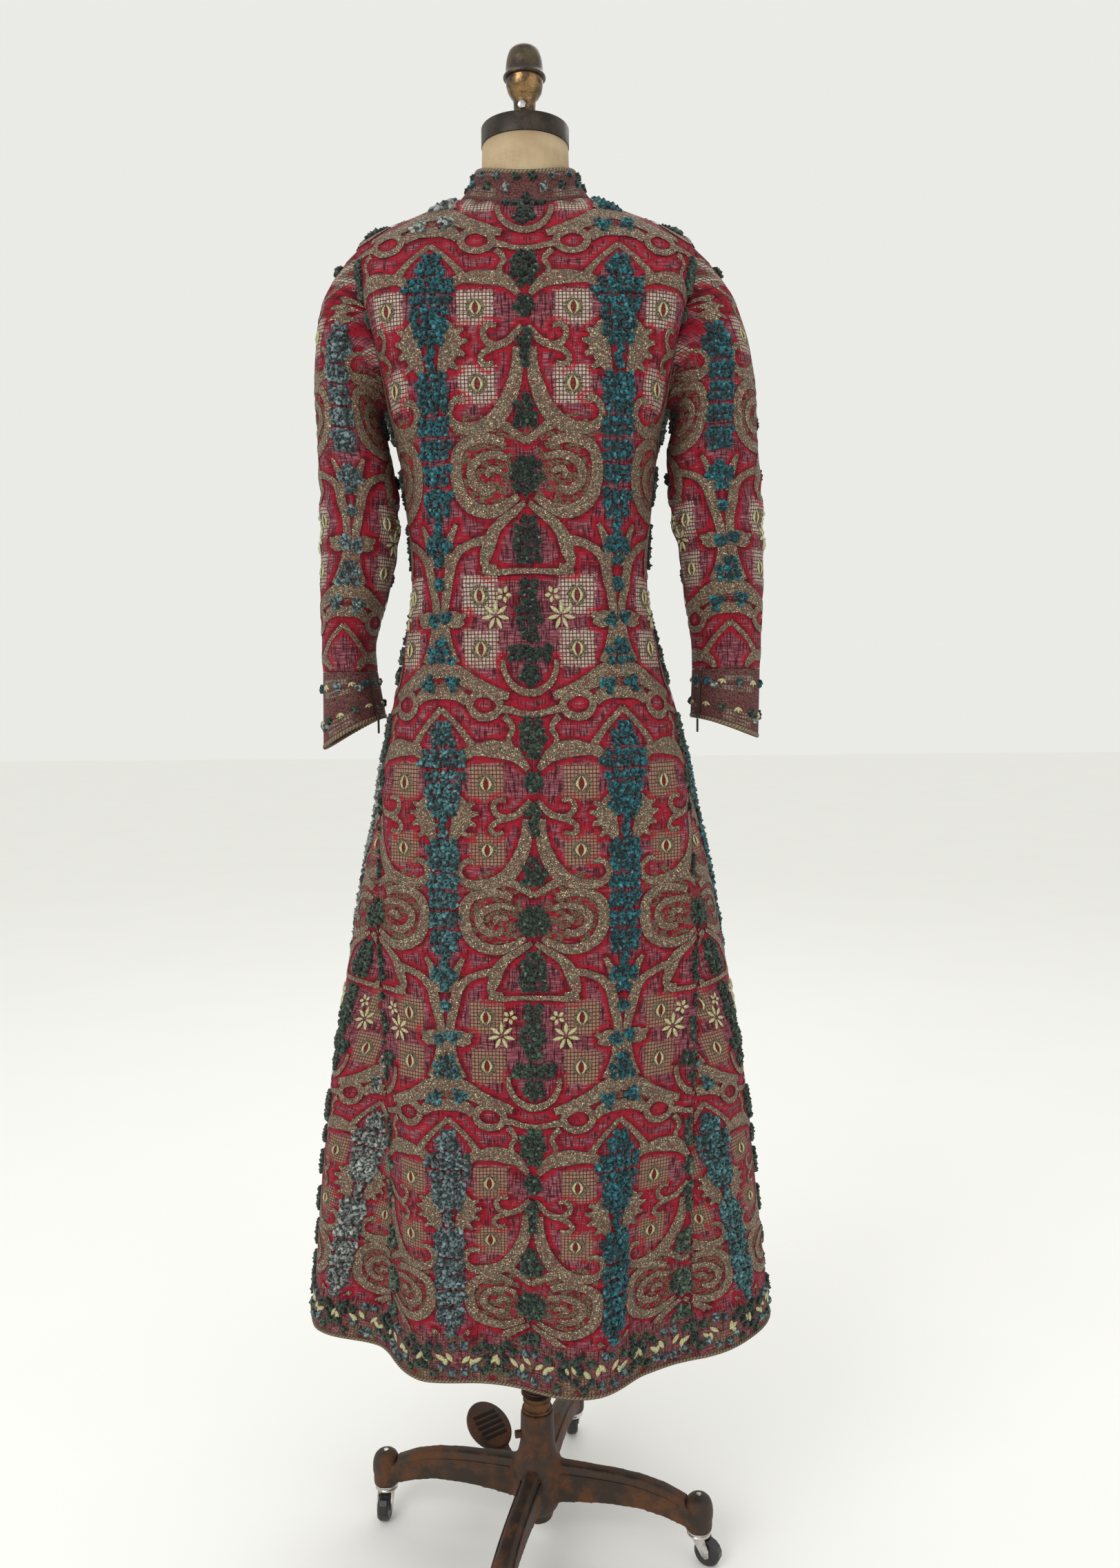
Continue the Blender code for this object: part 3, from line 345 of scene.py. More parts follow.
class RobeCut:
    """Cuts the robe's panels from its measured rings."""

    step_angles = np.arange(0.0, 181.0, 1.0)

    def __init__(self, spacing: float = 0.0050) -> None:
        """Measures the rings at even steps down the robe."""
        heights = np.arange(RINGS[0, 1], RINGS[-1, 1] - 1e-6, -spacing)
        heights = np.append(heights, RINGS[-1, 1])
        table_rows = np.linspace(0, HEM, 1501)
        table_z = smooth_values(RINGS, table_rows)[:, 1]
        self.rows = np.interp(-heights, -table_z, table_rows)
        self.arcs = {}
        for sign in (-1, 1):
            points = robe_points(self.rows[:, None], sign * self.step_angles[None, :])
            steps = np.linalg.norm(np.diff(points, axis=1), axis=-1)
            self.arcs[sign] = np.concatenate(
                (np.zeros((len(self.rows), 1)), np.cumsum(steps, axis=1)), axis=1
            )
        self.seam = smooth_values(RINGS, self.rows)[:, 9]

    def angles_at(self, sign: int, lengths: np.ndarray) -> np.ndarray:
        """Angles at distances from the centre back, one row of distances for each ring."""
        found = [np.interp(lengths[r], self.arcs[sign][r], self.step_angles) for r in range(len(self.rows))]
        return sign * np.array(found)

    def finish(
        self, name: str, angles: np.ndarray, across: np.ndarray, relax: Callable, to_seam: np.ndarray
    ) -> Panel:
        """A panel through the given angles, with creases that die away towards its side seams."""
        points = robe_points(self.rows[:, None], angles)
        normals = grid_normals(points, False)
        height = relax(points, angles) * ease(to_seam / 0.018)
        points = points + normals * height[..., None]
        normals = grid_normals(points, False)
        skirt = 1 + 0.08 * ease((0.95 - points[:, :1, 2]) / 0.55)
        return Panel(name, points, normals, across * skirt, repeat_of_height(points[..., 2]))

    def edge(self, sign: int, bite: float) -> np.ndarray:
        """Distance from the centre back to a panel's cut edge at each row."""
        rows = zip(self.seam + bite * armhole_shape(self.rows), self.arcs[sign])
        return np.array([np.interp(angle, self.step_angles, arc) for angle, arc in rows])

    def back(self, columns: int = 96) -> Panel:
        """The back, cut in one piece between the side seams."""
        share = np.linspace(-1.0, 1.0, columns + 1)
        edges = {sign: self.edge(sign, -BITE_BACK)[:, None] for sign in (-1, 1)}
        left = self.angles_at(-1, np.abs(share[share < 0])[None, :] * edges[-1])
        right = self.angles_at(1, share[share >= 0][None, :] * edges[1])
        across = share[None, :] * np.where(share[None, :] < 0, edges[-1], edges[1])
        to_seam = (1 - np.abs(share))[None, :] * edges[1]
        return self.finish("back", np.concatenate((left, right), axis=1), across, back_creases, to_seam)

    def front(self, side: str, columns: int = 84) -> Panel:
        """A front, from the centre opening to the side seam."""
        sign = SIDE_SIGN[side]
        total = self.arcs[sign][:, -1:]
        reach = total - self.edge(sign, BITE_FRONT)[:, None]
        start = FRONT_GAP / 2
        across = start + (reach - start) * np.linspace(0.0, 1.0, columns + 1)[None, :]
        angles = self.angles_at(sign, total - across)
        return self.finish(f"front_{side}", angles, across, front_creases, reach - across)


def ripple(points: np.ndarray, frequency: float, seed: float) -> np.ndarray:
    """A gentle unevenness of draped cloth, from a few crossing waves."""
    x, y, z = np.moveaxis(points, -1, 0)
    total = np.sin(frequency * (x * 1.3 + z * 0.9) + seed)
    total = total + np.sin(frequency * (y * 1.7 - z * 1.3) + seed * 2.3)
    total = total + np.sin(frequency * (x * 2.1 - z * 2.3 + y) + seed * 3.7) * 0.6
    return total / 2.6


def ridge(points: np.ndarray, start: Sequence[float], end: Sequence[float], width: float) -> np.ndarray:
    """A soft ridge of the cloth along a line seen from the back, over x and z."""
    a, b = np.array(start), np.array(end)
    flat = points[..., (0, 2)] - a
    length = np.linalg.norm(b - a)
    direction = (b - a) / length
    along = flat @ direction
    aside = flat @ np.array((-direction[1], direction[0]))
    ends = ease(along / (0.3 * length)) * ease((length - along) / (0.3 * length))
    return np.exp(-((aside / width) ** 2)) * ends


def back_creases(points: np.ndarray, angles: np.ndarray) -> np.ndarray:
    """Height of the back's creases at the waist, under the arms and in the skirt."""
    z = points[..., 2]
    skirt = ease((1.0 - z) / 0.5)
    total = 0.0010 * ripple(points, 38.0, 1.0) + 0.0016 * skirt * ripple(points, 17.0, 2.0)
    lines = (
        ((-0.120, 1.215), (-0.015, 1.195), 0.006, 0.0030),
        ((0.020, 1.185), (0.128, 1.205), 0.006, 0.0028),
        ((-0.125, 1.175), (0.010, 1.160), 0.005, 0.0024),
        ((0.030, 1.150), (0.135, 1.170), 0.006, 0.0026),
        ((-0.130, 1.135), (-0.020, 1.128), 0.006, 0.0020),
        ((-0.150, 1.385), (-0.075, 1.290), 0.008, 0.0030),
        ((0.155, 1.385), (0.085, 1.300), 0.008, 0.0030),
        ((-0.165, 1.020), (-0.140, 0.700), 0.010, 0.0030),
        ((0.165, 1.020), (0.185, 0.620), 0.010, 0.0036),
        ((0.140, 0.960), (0.160, 0.560), 0.010, -0.0030),
        ((0.060, 0.560), (0.075, 0.300), 0.012, 0.0030),
        ((-0.055, 0.600), (-0.070, 0.300), 0.013, 0.0030),
    )
    for start, end, width, height in lines:
        total = total + height * ridge(points, start, end, width)
    return total


def front_creases(points: np.ndarray, angles: np.ndarray) -> np.ndarray:
    """Height of the fronts' creases."""
    skirt = ease((1.0 - points[..., 2]) / 0.5)
    open_edge = ease((180.0 - np.abs(angles)) / 8.0)
    gentle = 0.0010 * ripple(points, 34.0, 4.0) + 0.0018 * skirt * ripple(points, 16.0, 5.0)
    waist = np.exp(-(((points[..., 2] - 1.175) / 0.030) ** 2)) * np.sin(
        points[..., 2] * 210.0 + points[..., 0] * 30.0
    )
    return open_edge * (gentle + 0.0013 * waist)


def sleeve_panel(side: str, columns: int = 64, head_rows: int = 34) -> Panel:
    """A set-in sleeve from the armhole to the cuff seam.

    Args:
        side: Which sleeve.
        columns: Steps round the arm, from the front middle round the outer side.
        head_rows: Steps from the armhole to the upper arm.

    Returns:
        The sleeve as a closed panel. Its pattern is centred on the back of the arm.
    """
    sign = SIDE_SIGN[side]
    phase = 90.0 - np.linspace(0.0, 360.0, columns + 1)
    wrapped = phase % 360.0
    row = SHOULDER_TIP + (UNDERARM - SHOULDER_TIP) * (1 - np.cos(np.radians(wrapped))) / 2
    seam = smooth_values(RINGS, row)[:, 9]
    bite = np.where(wrapped < 180.0, BITE_FRONT, -BITE_BACK) * armhole_shape(row)
    start = robe_points(row, sign * (seam + bite))
    rings = SLEEVES[side]
    turn = np.radians(wrapped)

    def level(ring: np.ndarray) -> np.ndarray:
        z, outer, inner, centre_y, half_depth = np.moveaxis(ring[..., None], -2, 0)
        x = sign * ((outer + inner) / 2 + (outer - inner) / 2 * np.cos(turn))
        y = centre_y + half_depth * np.sin(turn)
        return np.stack((x, y, np.broadcast_to(z, x.shape)), axis=-1)

    end = level(rings[0])
    reach = np.linalg.norm(end - start, axis=-1, keepdims=True)
    top = np.maximum(0.0, np.cos(turn))
    leave = np.stack((np.full_like(top, sign), np.zeros_like(top), -0.15 - 0.75 * top), axis=-1)
    leave /= np.linalg.norm(leave, axis=-1, keepdims=True)
    control_a = start + leave * reach * 0.38
    control_b = end + np.array((0.0, 0.0, 1.0)) * reach * 0.36
    share = np.linspace(0.0, 1.0, head_rows, endpoint=False)[:, None, None]
    rest = 1 - share
    head = (
        start * rest**3 + control_a * 3 * rest**2 * share + control_b * 3 * rest * share**2
        + end * share**3
    )
    arm_rows = np.linspace(0.0, len(rings) - 1.0, 50)
    arm = level(smooth_values(rings, arm_rows))
    points = np.concatenate((head, arm), axis=0)
    normals = grid_normals(points, True)
    lengths = np.linalg.norm(np.diff(points, axis=0), axis=-1)[::-1].cumsum(axis=0)[::-1]
    left = np.concatenate((lengths, np.zeros((1, points.shape[1]))))
    down = (1.130 - rings[-1, 0]) / 0.47 + 1.0 - left / 0.47
    steps = np.linalg.norm(np.diff(points, axis=1), axis=-1)
    length = np.concatenate((np.zeros((len(points), 1)), np.cumsum(steps, axis=1)), axis=1)
    middle = length[:, columns // 2][:, None]
    across = -(length - middle)
    points = points + normals * sleeve_creases(
        points, length, share_down=np.linspace(0, 1, len(points))
    )[..., None]
    normals = grid_normals(points, True)
    if across[0, 0] > across[0, -1]:
        points, normals = points[:, ::-1], normals[:, ::-1]
        across, down = across[:, ::-1], down[:, ::-1]
    return Panel(f"sleeve_{side}", points, normals, across, down, True)


def sleeve_creases(points: np.ndarray, length: np.ndarray, share_down: np.ndarray) -> np.ndarray:
    """Soft rings of creasing round the elbow and a gentle unevenness above it."""
    z = points[..., 2]
    elbow = np.exp(-(((z - 1.255) / 0.055) ** 2))
    angle = length / length[:, -1:] * 2 * np.pi
    rings = np.sin(z * 165.0 + 1.6 * np.sin(angle)) * elbow
    fade = ease(share_down / 0.15) * ease((1 - share_down) / 0.08)
    return fade[:, None] * (0.0017 * rings + 0.0008 * ripple(points, 42.0, 7.0))


def cuff_panel(side: str, columns: int = 64, rows: int = 22) -> Panel:
    """A pointed cuff, open along its zip."""
    sign = SIDE_SIGN[side]
    gap = math.degrees(ZIP_GAP / 2 / CUFF_RADIUS)
    phase = ZIP_ANGLE + gap + (360 - 2 * gap) * np.linspace(0.0, 1.0, columns + 1)
    share = np.linspace(0.0, 1.0, rows)[:, None]
    points = cuff_points(side, share, phase[None, :], 0.0)
    normals = grid_normals(points - np.array((sign * 0.222, 0.032, 0.0)), False)
    steps = np.linalg.norm(np.diff(points, axis=1), axis=-1)
    across = np.concatenate((np.zeros((rows, 1)), np.cumsum(steps, axis=1)), axis=1)
    down = np.broadcast_to(share, across.shape).copy()
    return Panel(f"cuff_{side}", points, normals, across, down)


def cuff_points(side: str, share: np.ndarray, phase: np.ndarray, out: float) -> np.ndarray:
    """Points of a cuff, from its seam at share 0 to its slanted edge at 1."""
    ring = SLEEVES[side][-1]
    hem_outer, hem_inner, outer_z, inner_z, hem_y, hem_depth = CUFF_HEMS[side]
    turn = np.radians(phase)
    across = (1 + np.cos(turn)) / 2
    foot_z = inner_z + (outer_z - inner_z) * across**1.35
    top_z = ring[0] - 0.0004
    inner_x = ring[2] + (hem_inner - ring[2]) * share
    outer_x = ring[1] + (hem_outer - ring[1]) * share
    middle, half = (outer_x + inner_x) / 2, (outer_x - inner_x) / 2 + out
    centre_y = ring[3] + (hem_y - ring[3]) * share
    depth = ring[4] + (hem_depth - ring[4]) * share + out
    x = SIDE_SIGN[side] * (middle + half * np.cos(turn))
    return np.stack((x, centre_y + depth * np.sin(turn), top_z + (foot_z - top_z) * share), axis=-1)


def collar_points(position: np.ndarray, angle: np.ndarray, out: float) -> np.ndarray:
    """Points of the stand collar, from its seam at 0 to its top edge at 3."""
    position, angle = np.broadcast_arrays(np.asarray(position, float), np.asarray(angle, float))
    ring = smooth_values(COLLAR_RINGS, position)
    side_z, back_z, front_z, half_width, back_y, front_y = np.moveaxis(ring, -1, 0)
    turn = np.radians(angle)
    along = np.cos(turn)
    reach = np.where(along > 0, -back_y, front_y)
    end_z = np.where(along > 0, back_z, front_z)
    x = RINGS[0, 7] + (half_width + out) * np.sin(turn)
    return np.stack((x, -(reach + out) * along, side_z + (end_z - side_z) * along * along), axis=-1)


def collar_panel(columns: int = 110, rows: int = 13) -> Panel:
    """The stand collar, open at the centre front."""
    half_gap = math.degrees(FRONT_GAP / 2 / RINGS[0, 6])
    angle = np.linspace(-180.0 + half_gap, 180.0 - half_gap, columns + 1)
    position = np.linspace(0.0, 3.0, rows)[::-1]
    points = collar_points(position[:, None], angle[None, :], 0.0)
    normals = grid_normals(points, False)
    steps = np.linalg.norm(np.diff(points, axis=1), axis=-1)
    length = np.concatenate((np.zeros((rows, 1)), np.cumsum(steps, axis=1)), axis=1)
    across = length - length[:, columns // 2][:, None]
    down = np.broadcast_to((3.0 - position)[:, None] / 3.0, across.shape).copy()
    return Panel("collar", points, normals, across, down)


class Graph:
    """Short ways to lay out a node tree."""

    def __init__(self, tree: bpy.types.NodeTree) -> None:
        """Keeps the tree that nodes are added to."""
        self.tree = tree

    def link(self, source, target) -> None:
        """Sets a socket from another socket or a plain value."""
        if isinstance(source, bpy.types.NodeSocket):
            self.tree.links.new(source, target)
        else:
            target.default_value = source

    def node(self, kind: str, **settings):
        """Adds a node and sets its properties."""
        made = self.tree.nodes.new(kind)
        for name, value in settings.items():
            setattr(made, name, value)
        return made

    def math(self, operation: str, a, b=0.0, clamp: bool = False):
        """One arithmetic step."""
        made = self.node("ShaderNodeMath", operation=operation, use_clamp=clamp)
        self.link(a, made.inputs[0])
        self.link(b, made.inputs[1])
        return made.outputs[0]

    def mix(self, factor, a, b, blend: str = "MIX"):
        """Two colours mixed by a factor."""
        made = self.node("ShaderNodeMix", data_type="RGBA", blend_type=blend)
        self.link(factor, made.inputs[0])
        self.link(a, made.inputs[6])
        self.link(b, made.inputs[7])
        return made.outputs[2]

    def span(self, value, low: float, high: float, to_low: float = 0.0, to_high: float = 1.0):
        """A value mapped from one range to another, held at its ends."""
        made = self.node("ShaderNodeMapRange", interpolation_type="SMOOTHSTEP")
        self.link(value, made.inputs[0])
        for place, number in zip((1, 2, 3, 4), (low, high, to_low, to_high)):
            made.inputs[place].default_value = number
        return made.outputs[0]

    def noise(self, vector, scale: float, detail: float = 3.0, roughness: float = 0.55):
        """Soft noise over a vector."""
        made = self.node("ShaderNodeTexNoise")
        self.link(vector, made.inputs["Vector"])
        made.inputs["Scale"].default_value = scale
        made.inputs["Detail"].default_value = detail
        made.inputs["Roughness"].default_value = roughness
        return made.outputs["Fac"]

    def stretched(self, vector, scale: tuple[float, float, float]):
        """A vector scaled along its axes."""
        made = self.node("ShaderNodeVectorMath", operation="MULTIPLY")
        self.link(vector, made.inputs[0])
        made.inputs[1].default_value = scale
        return made.outputs[0]

    def bump(self, height, strength: float, distance: float):
        """A normal from a height."""
        made = self.node("ShaderNodeBump")
        made.inputs["Strength"].default_value = strength
        made.inputs["Distance"].default_value = distance
        self.link(height, made.inputs["Height"])
        return made.outputs["Normal"]

    def position(self):
        """Object coordinates."""
        return self.node("ShaderNodeTexCoord").outputs["Object"]

    def attribute(self, name: str, output: str = "Fac"):
        """A stored attribute of the mesh."""
        made = self.node("ShaderNodeAttribute", attribute_name=name)
        return made.outputs[output]

    def uv(self):
        """The piece's own pattern coordinates."""
        return self.node("ShaderNodeUVMap", uv_map="pattern").outputs["UV"]


def group_with(name: str, inputs: dict[str, str], outputs: dict[str, str]):
    """An empty shader group with named sockets.

    Args:
        name: Name of the group.
        inputs: Socket types by name.
        outputs: Socket types by name.

    Returns:
        The tree, its graph, its input node and its output node.
    """
    tree = bpy.data.node_groups.new(name, "ShaderNodeTree")
    for title, kind in inputs.items():
        tree.interface.new_socket(title, in_out="INPUT", socket_type=kind)
    for title, kind in outputs.items():
        tree.interface.new_socket(title, in_out="OUTPUT", socket_type=kind)
    graph = Graph(tree)
    return tree, graph, graph.node("NodeGroupInput"), graph.node("NodeGroupOutput")


def weave_group() -> bpy.types.NodeTree:
    """Threads of warp and weft with uneven thickness."""
    tree, graph, given, out = group_with(
        "thread_weave",
        {"Pattern": "NodeSocketVector", "Threads": "NodeSocketFloat"},
        {"Shade": "NodeSocketFloat", "Height": "NodeSocketFloat"},
    )
    split = graph.node("ShaderNodeSeparateXYZ")
    graph.link(given.outputs["Pattern"], split.inputs[0])
    waves = []
    for axis in (0, 1):
        place = graph.math("MULTIPLY", split.outputs[axis], given.outputs["Threads"])
        waves.append(graph.math("SINE", graph.math("MULTIPLY", place, 2 * math.pi)))
    cross = graph.math("MULTIPLY", waves[0], waves[1])
    slub = graph.noise(graph.stretched(given.outputs["Pattern"], (40.0, 900.0, 1.0)), 1.0, 2.0)
    warp = graph.noise(graph.stretched(given.outputs["Pattern"], (900.0, 40.0, 1.0)), 1.0, 2.0)
    uneven = graph.math("ADD", slub, warp)
    shade = graph.math("MULTIPLY_ADD", cross, 0.18)
    shade.node.inputs[2].default_value = 0.0
    graph.link(graph.math("ADD", shade, graph.math("MULTIPLY", uneven, 0.5)), out.inputs["Shade"])
    graph.link(graph.math("ADD", graph.math("MULTIPLY", cross, 0.5), uneven), out.inputs["Height"])
    return tree


def window_group() -> bpy.types.NodeTree:
    """A darned net window with a ring of petals round its middle."""
    tree, graph, given, out = group_with(
        "net_window",
        {"Across": "NodeSocketFloat", "Down": "NodeSocketFloat", "Fray": "NodeSocketFloat"},
        {"Net": "NodeSocketFloat", "Petals": "NodeSocketFloat", "Heart": "NodeSocketFloat"},
    )
    far_x = graph.math("ABSOLUTE", given.outputs["Across"])
    far_y = graph.math("ABSOLUTE", given.outputs["Down"])
    square = graph.math("MAXIMUM", far_x, far_y)
    round_far = graph.math(
        "SQRT", graph.math("ADD", graph.math("POWER", far_x, 2.0), graph.math("POWER", far_y, 2.0))
    )
    frayed = graph.math("ADD", square, given.outputs["Fray"])
    net = graph.span(frayed, 0.0215, 0.0165)
    petals = graph.math("ADD", round_far, graph.math("MULTIPLY", given.outputs["Fray"], 0.6))
    ring = graph.math("MULTIPLY", graph.span(petals, 0.0046, 0.0058), graph.span(petals, 0.0118, 0.0100))
    graph.link(net, out.inputs["Net"])
    graph.link(ring, out.inputs["Petals"])
    graph.link(graph.span(round_far, 0.0062, 0.0048), out.inputs["Heart"])
    return tree


def pile_group() -> bpy.types.NodeTree:
    """Short velvety pile noise, multiplied by painted shading that darkens the lumps' bases between the tufts
    and lightens their tops.
    """
    tree, graph, given, out = group_with(
        "velvet_pile",
        {"Position": "NodeSocketVector", "Depth": "NodeSocketFloat"},
        {"Shade": "NodeSocketFloat", "Height": "NodeSocketFloat"},
    )
    fine = graph.noise(given.outputs["Position"], 1500.0, 2.0, 0.7)
    broad = graph.noise(given.outputs["Position"], 420.0, 2.0)
    light = graph.math("ADD", graph.math("MULTIPLY", fine, 0.9), graph.math("MULTIPLY", broad, 0.7))
    graph.link(graph.math("MULTIPLY", light, given.outputs["Depth"]), out.inputs["Shade"])
    graph.link(graph.math("ADD", fine, broad), out.inputs["Height"])
    return tree


def tarnish_group() -> bpy.types.NodeTree:
    """Patches of wear, dust and rust over metal."""
    tree, graph, given, out = group_with(
        "metal_wear",
        {"Position": "NodeSocketVector", "Scale": "NodeSocketFloat"},
        {"Patches": "NodeSocketFloat", "Grain": "NodeSocketFloat"},
    )
    scaled = graph.node("ShaderNodeVectorMath", operation="SCALE")
    graph.link(given.outputs["Position"], scaled.inputs[0])
    graph.link(given.outputs["Scale"], scaled.inputs[3])
    graph.link(graph.span(graph.noise(scaled.outputs[0], 40.0, 5.0, 0.65), 0.40, 0.62), out.inputs["Patches"])
    graph.link(graph.noise(scaled.outputs[0], 420.0, 3.0, 0.6), out.inputs["Grain"])
    return tree


class Groups:
    """The shader groups, each built once."""

    _made: dict[str, bpy.types.NodeTree] = {}

    @classmethod
    def use(cls, graph: Graph, builder: Callable, **inputs):
        """Places a group in a graph.

        Args:
            graph: Graph of the material.
            builder: Function that builds the group the first time.
            **inputs: Values or sockets by input name.

        Returns:
            The group node.
        """
        if builder.__name__ not in cls._made:
            cls._made[builder.__name__] = builder()
        made = graph.node("ShaderNodeGroup")
        made.node_tree = cls._made[builder.__name__]
        for name, value in inputs.items():
            graph.link(value, made.inputs[name])
        return made


def new_material(name: str) -> tuple[bpy.types.Material, Graph, bpy.types.Node]:
    """An empty material with its graph and its surface shader."""
    made = bpy.data.materials.new(name)
    made.use_nodes = True
    return made, Graph(made.node_tree), made.node_tree.nodes["Principled BSDF"]


@dataclass(frozen=True)
class Brocade:
    """Crimson ground cloth with darned windows, darker beside the strapwork."""

    name: str = "brocade_ground"
    crimson: tuple = (0.150, 0.006, 0.016, 1.0)
    bright: tuple = (0.330, 0.007, 0.022, 1.0)
    maroon: tuple = (0.040, 0.003, 0.007, 1.0)
    plum: tuple = (0.215, 0.068, 0.092, 1.0)
    rose: tuple = (0.360, 0.150, 0.170, 1.0)
    cream: tuple = (0.500, 0.440, 0.360, 1.0)
    beige: tuple = (0.300, 0.205, 0.130, 1.0)
    taupe: tuple = (0.200, 0.155, 0.100, 1.0)
    soot: tuple = (0.030, 0.018, 0.014, 1.0)
    windows: tuple = ((0.0515, 0.157), (0.0505, 0.328), (0.0535, 0.749), (0.0530, 0.868))

    def dashes(self, graph: Graph, place, across: float, down: float):
        """Short threads of one direction, as soft noise."""
        return graph.noise(graph.stretched(place, (across, down, 1.0)), 1.0, 2.0, 0.5)

    def build(self) -> bpy.types.Material:
        """Returns: The finished material."""
        material, graph, shader = new_material(self.name)
        split = graph.node("ShaderNodeSeparateXYZ")
        graph.link(graph.uv(), split.inputs[0])
        across, down = split.outputs[0], split.outputs[1]
        metres = graph.math("MULTIPLY", down, REPEAT_METRES)
        metric = graph.node("ShaderNodeCombineXYZ")
        graph.link(across, metric.inputs[0])
        graph.link(metres, metric.inputs[1])
        place = metric.outputs[0]
        weave = Groups.use(graph, weave_group, Pattern=place, Threads=620.0)
        broad = graph.noise(place, 24.0, 3.0, 0.6)
        weft = self.dashes(graph, place, 60.0, 520.0)
        warp = self.dashes(graph, place, 520.0, 60.0)
        long_weft = self.dashes(graph, place, 26.0, 190.0)
        near = graph.attribute("near")
        away = graph.span(near, 0.0030, 0.0070)
        colour = graph.mix(graph.span(long_weft, 0.42, 0.60), self.crimson, self.bright)
        pink = graph.math("MULTIPLY", graph.span(broad, 0.26, 0.46), away)
        colour = graph.mix(graph.math("MULTIPLY", pink, 0.78), colour, self.plum)
        light_threads = graph.math("MULTIPLY", graph.span(weft, 0.48, 0.60, 0.0, 0.80), pink)
        colour = graph.mix(light_threads, colour, self.rose)
        colour = graph.mix(graph.span(warp, 0.47, 0.60, 0.0, 0.88), colour, self.maroon)
        under = self.dashes(graph, graph.stretched(place, (-1.0, -1.0, 1.0)), 75.0, 640.0)
        colour = graph.mix(graph.span(under, 0.50, 0.62, 0.0, 0.75), colour, self.maroon)
        windows = self.window_masks(graph, across, down, place)
        lines = [
            graph.span(graph.math("PINGPONG", value, 0.0020), 0.00032, 0.00070) for value in (across, metres)
        ]
        holes = graph.math("MULTIPLY", lines[0], lines[1])
        light = graph.mix(graph.span(down, 0.75, 1.20), self.cream, self.beige)
        net_colour = graph.mix(holes, (0.085, 0.016, 0.018, 1.0), light)
        darned = graph.span(graph.math("ADD", weft, graph.noise(place, 260.0, 2.0)), 0.70, 1.00, 0.30, 1.0)
        colour = graph.mix(graph.math("MULTIPLY", windows[0], darned), colour, net_colour)
        speckle = graph.span(graph.noise(place, 620.0, 2.0, 0.6), 0.40, 0.58)
        petal = graph.mix(speckle, self.soot, self.taupe)
        petal_break = graph.span(graph.noise(place, 330.0, 1.0), 0.34, 0.46)
        colour = graph.mix(graph.math("MULTIPLY", windows[1], petal_break), colour, petal)
        colour = graph.mix(graph.math("MULTIPLY", windows[2], 0.9), colour, self.crimson)
        ragged = graph.math("MULTIPLY", graph.math("SUBTRACT", graph.math("ADD", weft, warp), 1.0), 0.014)
        edge = graph.math("ADD", near, ragged)
        dark = graph.math("MULTIPLY", graph.span(edge, 0.0030, 0.0006), 0.18)
        colour = graph.mix(dark, colour, self.maroon)
        rim = graph.math("MULTIPLY", graph.span(edge, 0.0014, 0.0032), graph.span(edge, 0.0078, 0.0052))
        patchy = graph.span(graph.noise(place, 45.0, 2.0), 0.40, 0.54, 0.15, 0.85)
        colour = graph.mix(graph.math("MULTIPLY", rim, patchy), colour, self.bright)
        mottled = graph.math("ADD", graph.noise(place, 130.0, 3.0, 0.6), graph.math("MULTIPLY", weft, 0.35))
        laced = graph.math("SUBTRACT", graph.math("ADD", mottled, graph.attribute("lace")), 1.0)
        fleck = graph.noise(graph.position(), 780.0, 2.0, 0.7)
        lame = graph.mix(
            graph.span(fleck, 0.40, 0.62), (0.040, 0.022, 0.014, 1.0), (0.205, 0.152, 0.092, 1.0)
        )
        colour = graph.mix(graph.span(laced, 0.0, 0.05), colour, lame)
        graph.link(colour, shader.inputs["Base Color"])
        shader.inputs["Roughness"].default_value = 0.82
        shader.inputs["Specular IOR Level"].default_value = 0.2
        height = graph.math("ADD", weave.outputs["Height"], graph.math("ADD", weft, warp))
        graph.link(graph.bump(height, 0.6, 0.0008), shader.inputs["Normal"])
        return material

    def window_masks(self, graph: Graph, across, down, place) -> list:
        """Net, petal and heart masks of all the windows together."""
        half = graph.math("PINGPONG", across, SPACING)
        tile = graph.math("FRACT", down)
        fray = graph.math("MULTIPLY", graph.math("SUBTRACT", graph.noise(place, 210.0, 3.0, 0.7), 0.5), 0.020)
        masks = [None, None, None]
        for centre_s, centre_w in self.windows:
            away_s = graph.math("SUBTRACT", half, centre_s)
            away_w = graph.math("MULTIPLY", graph.math("SUBTRACT", tile, centre_w), REPEAT_METRES)
            window = Groups.use(graph, window_group, Across=away_s, Down=away_w, Fray=fray)
            for k, name in enumerate(("Net", "Petals", "Heart")):
                mask = window.outputs[name]
                masks[k] = mask if masks[k] is None else graph.math("MAXIMUM", masks[k], mask)
        return masks


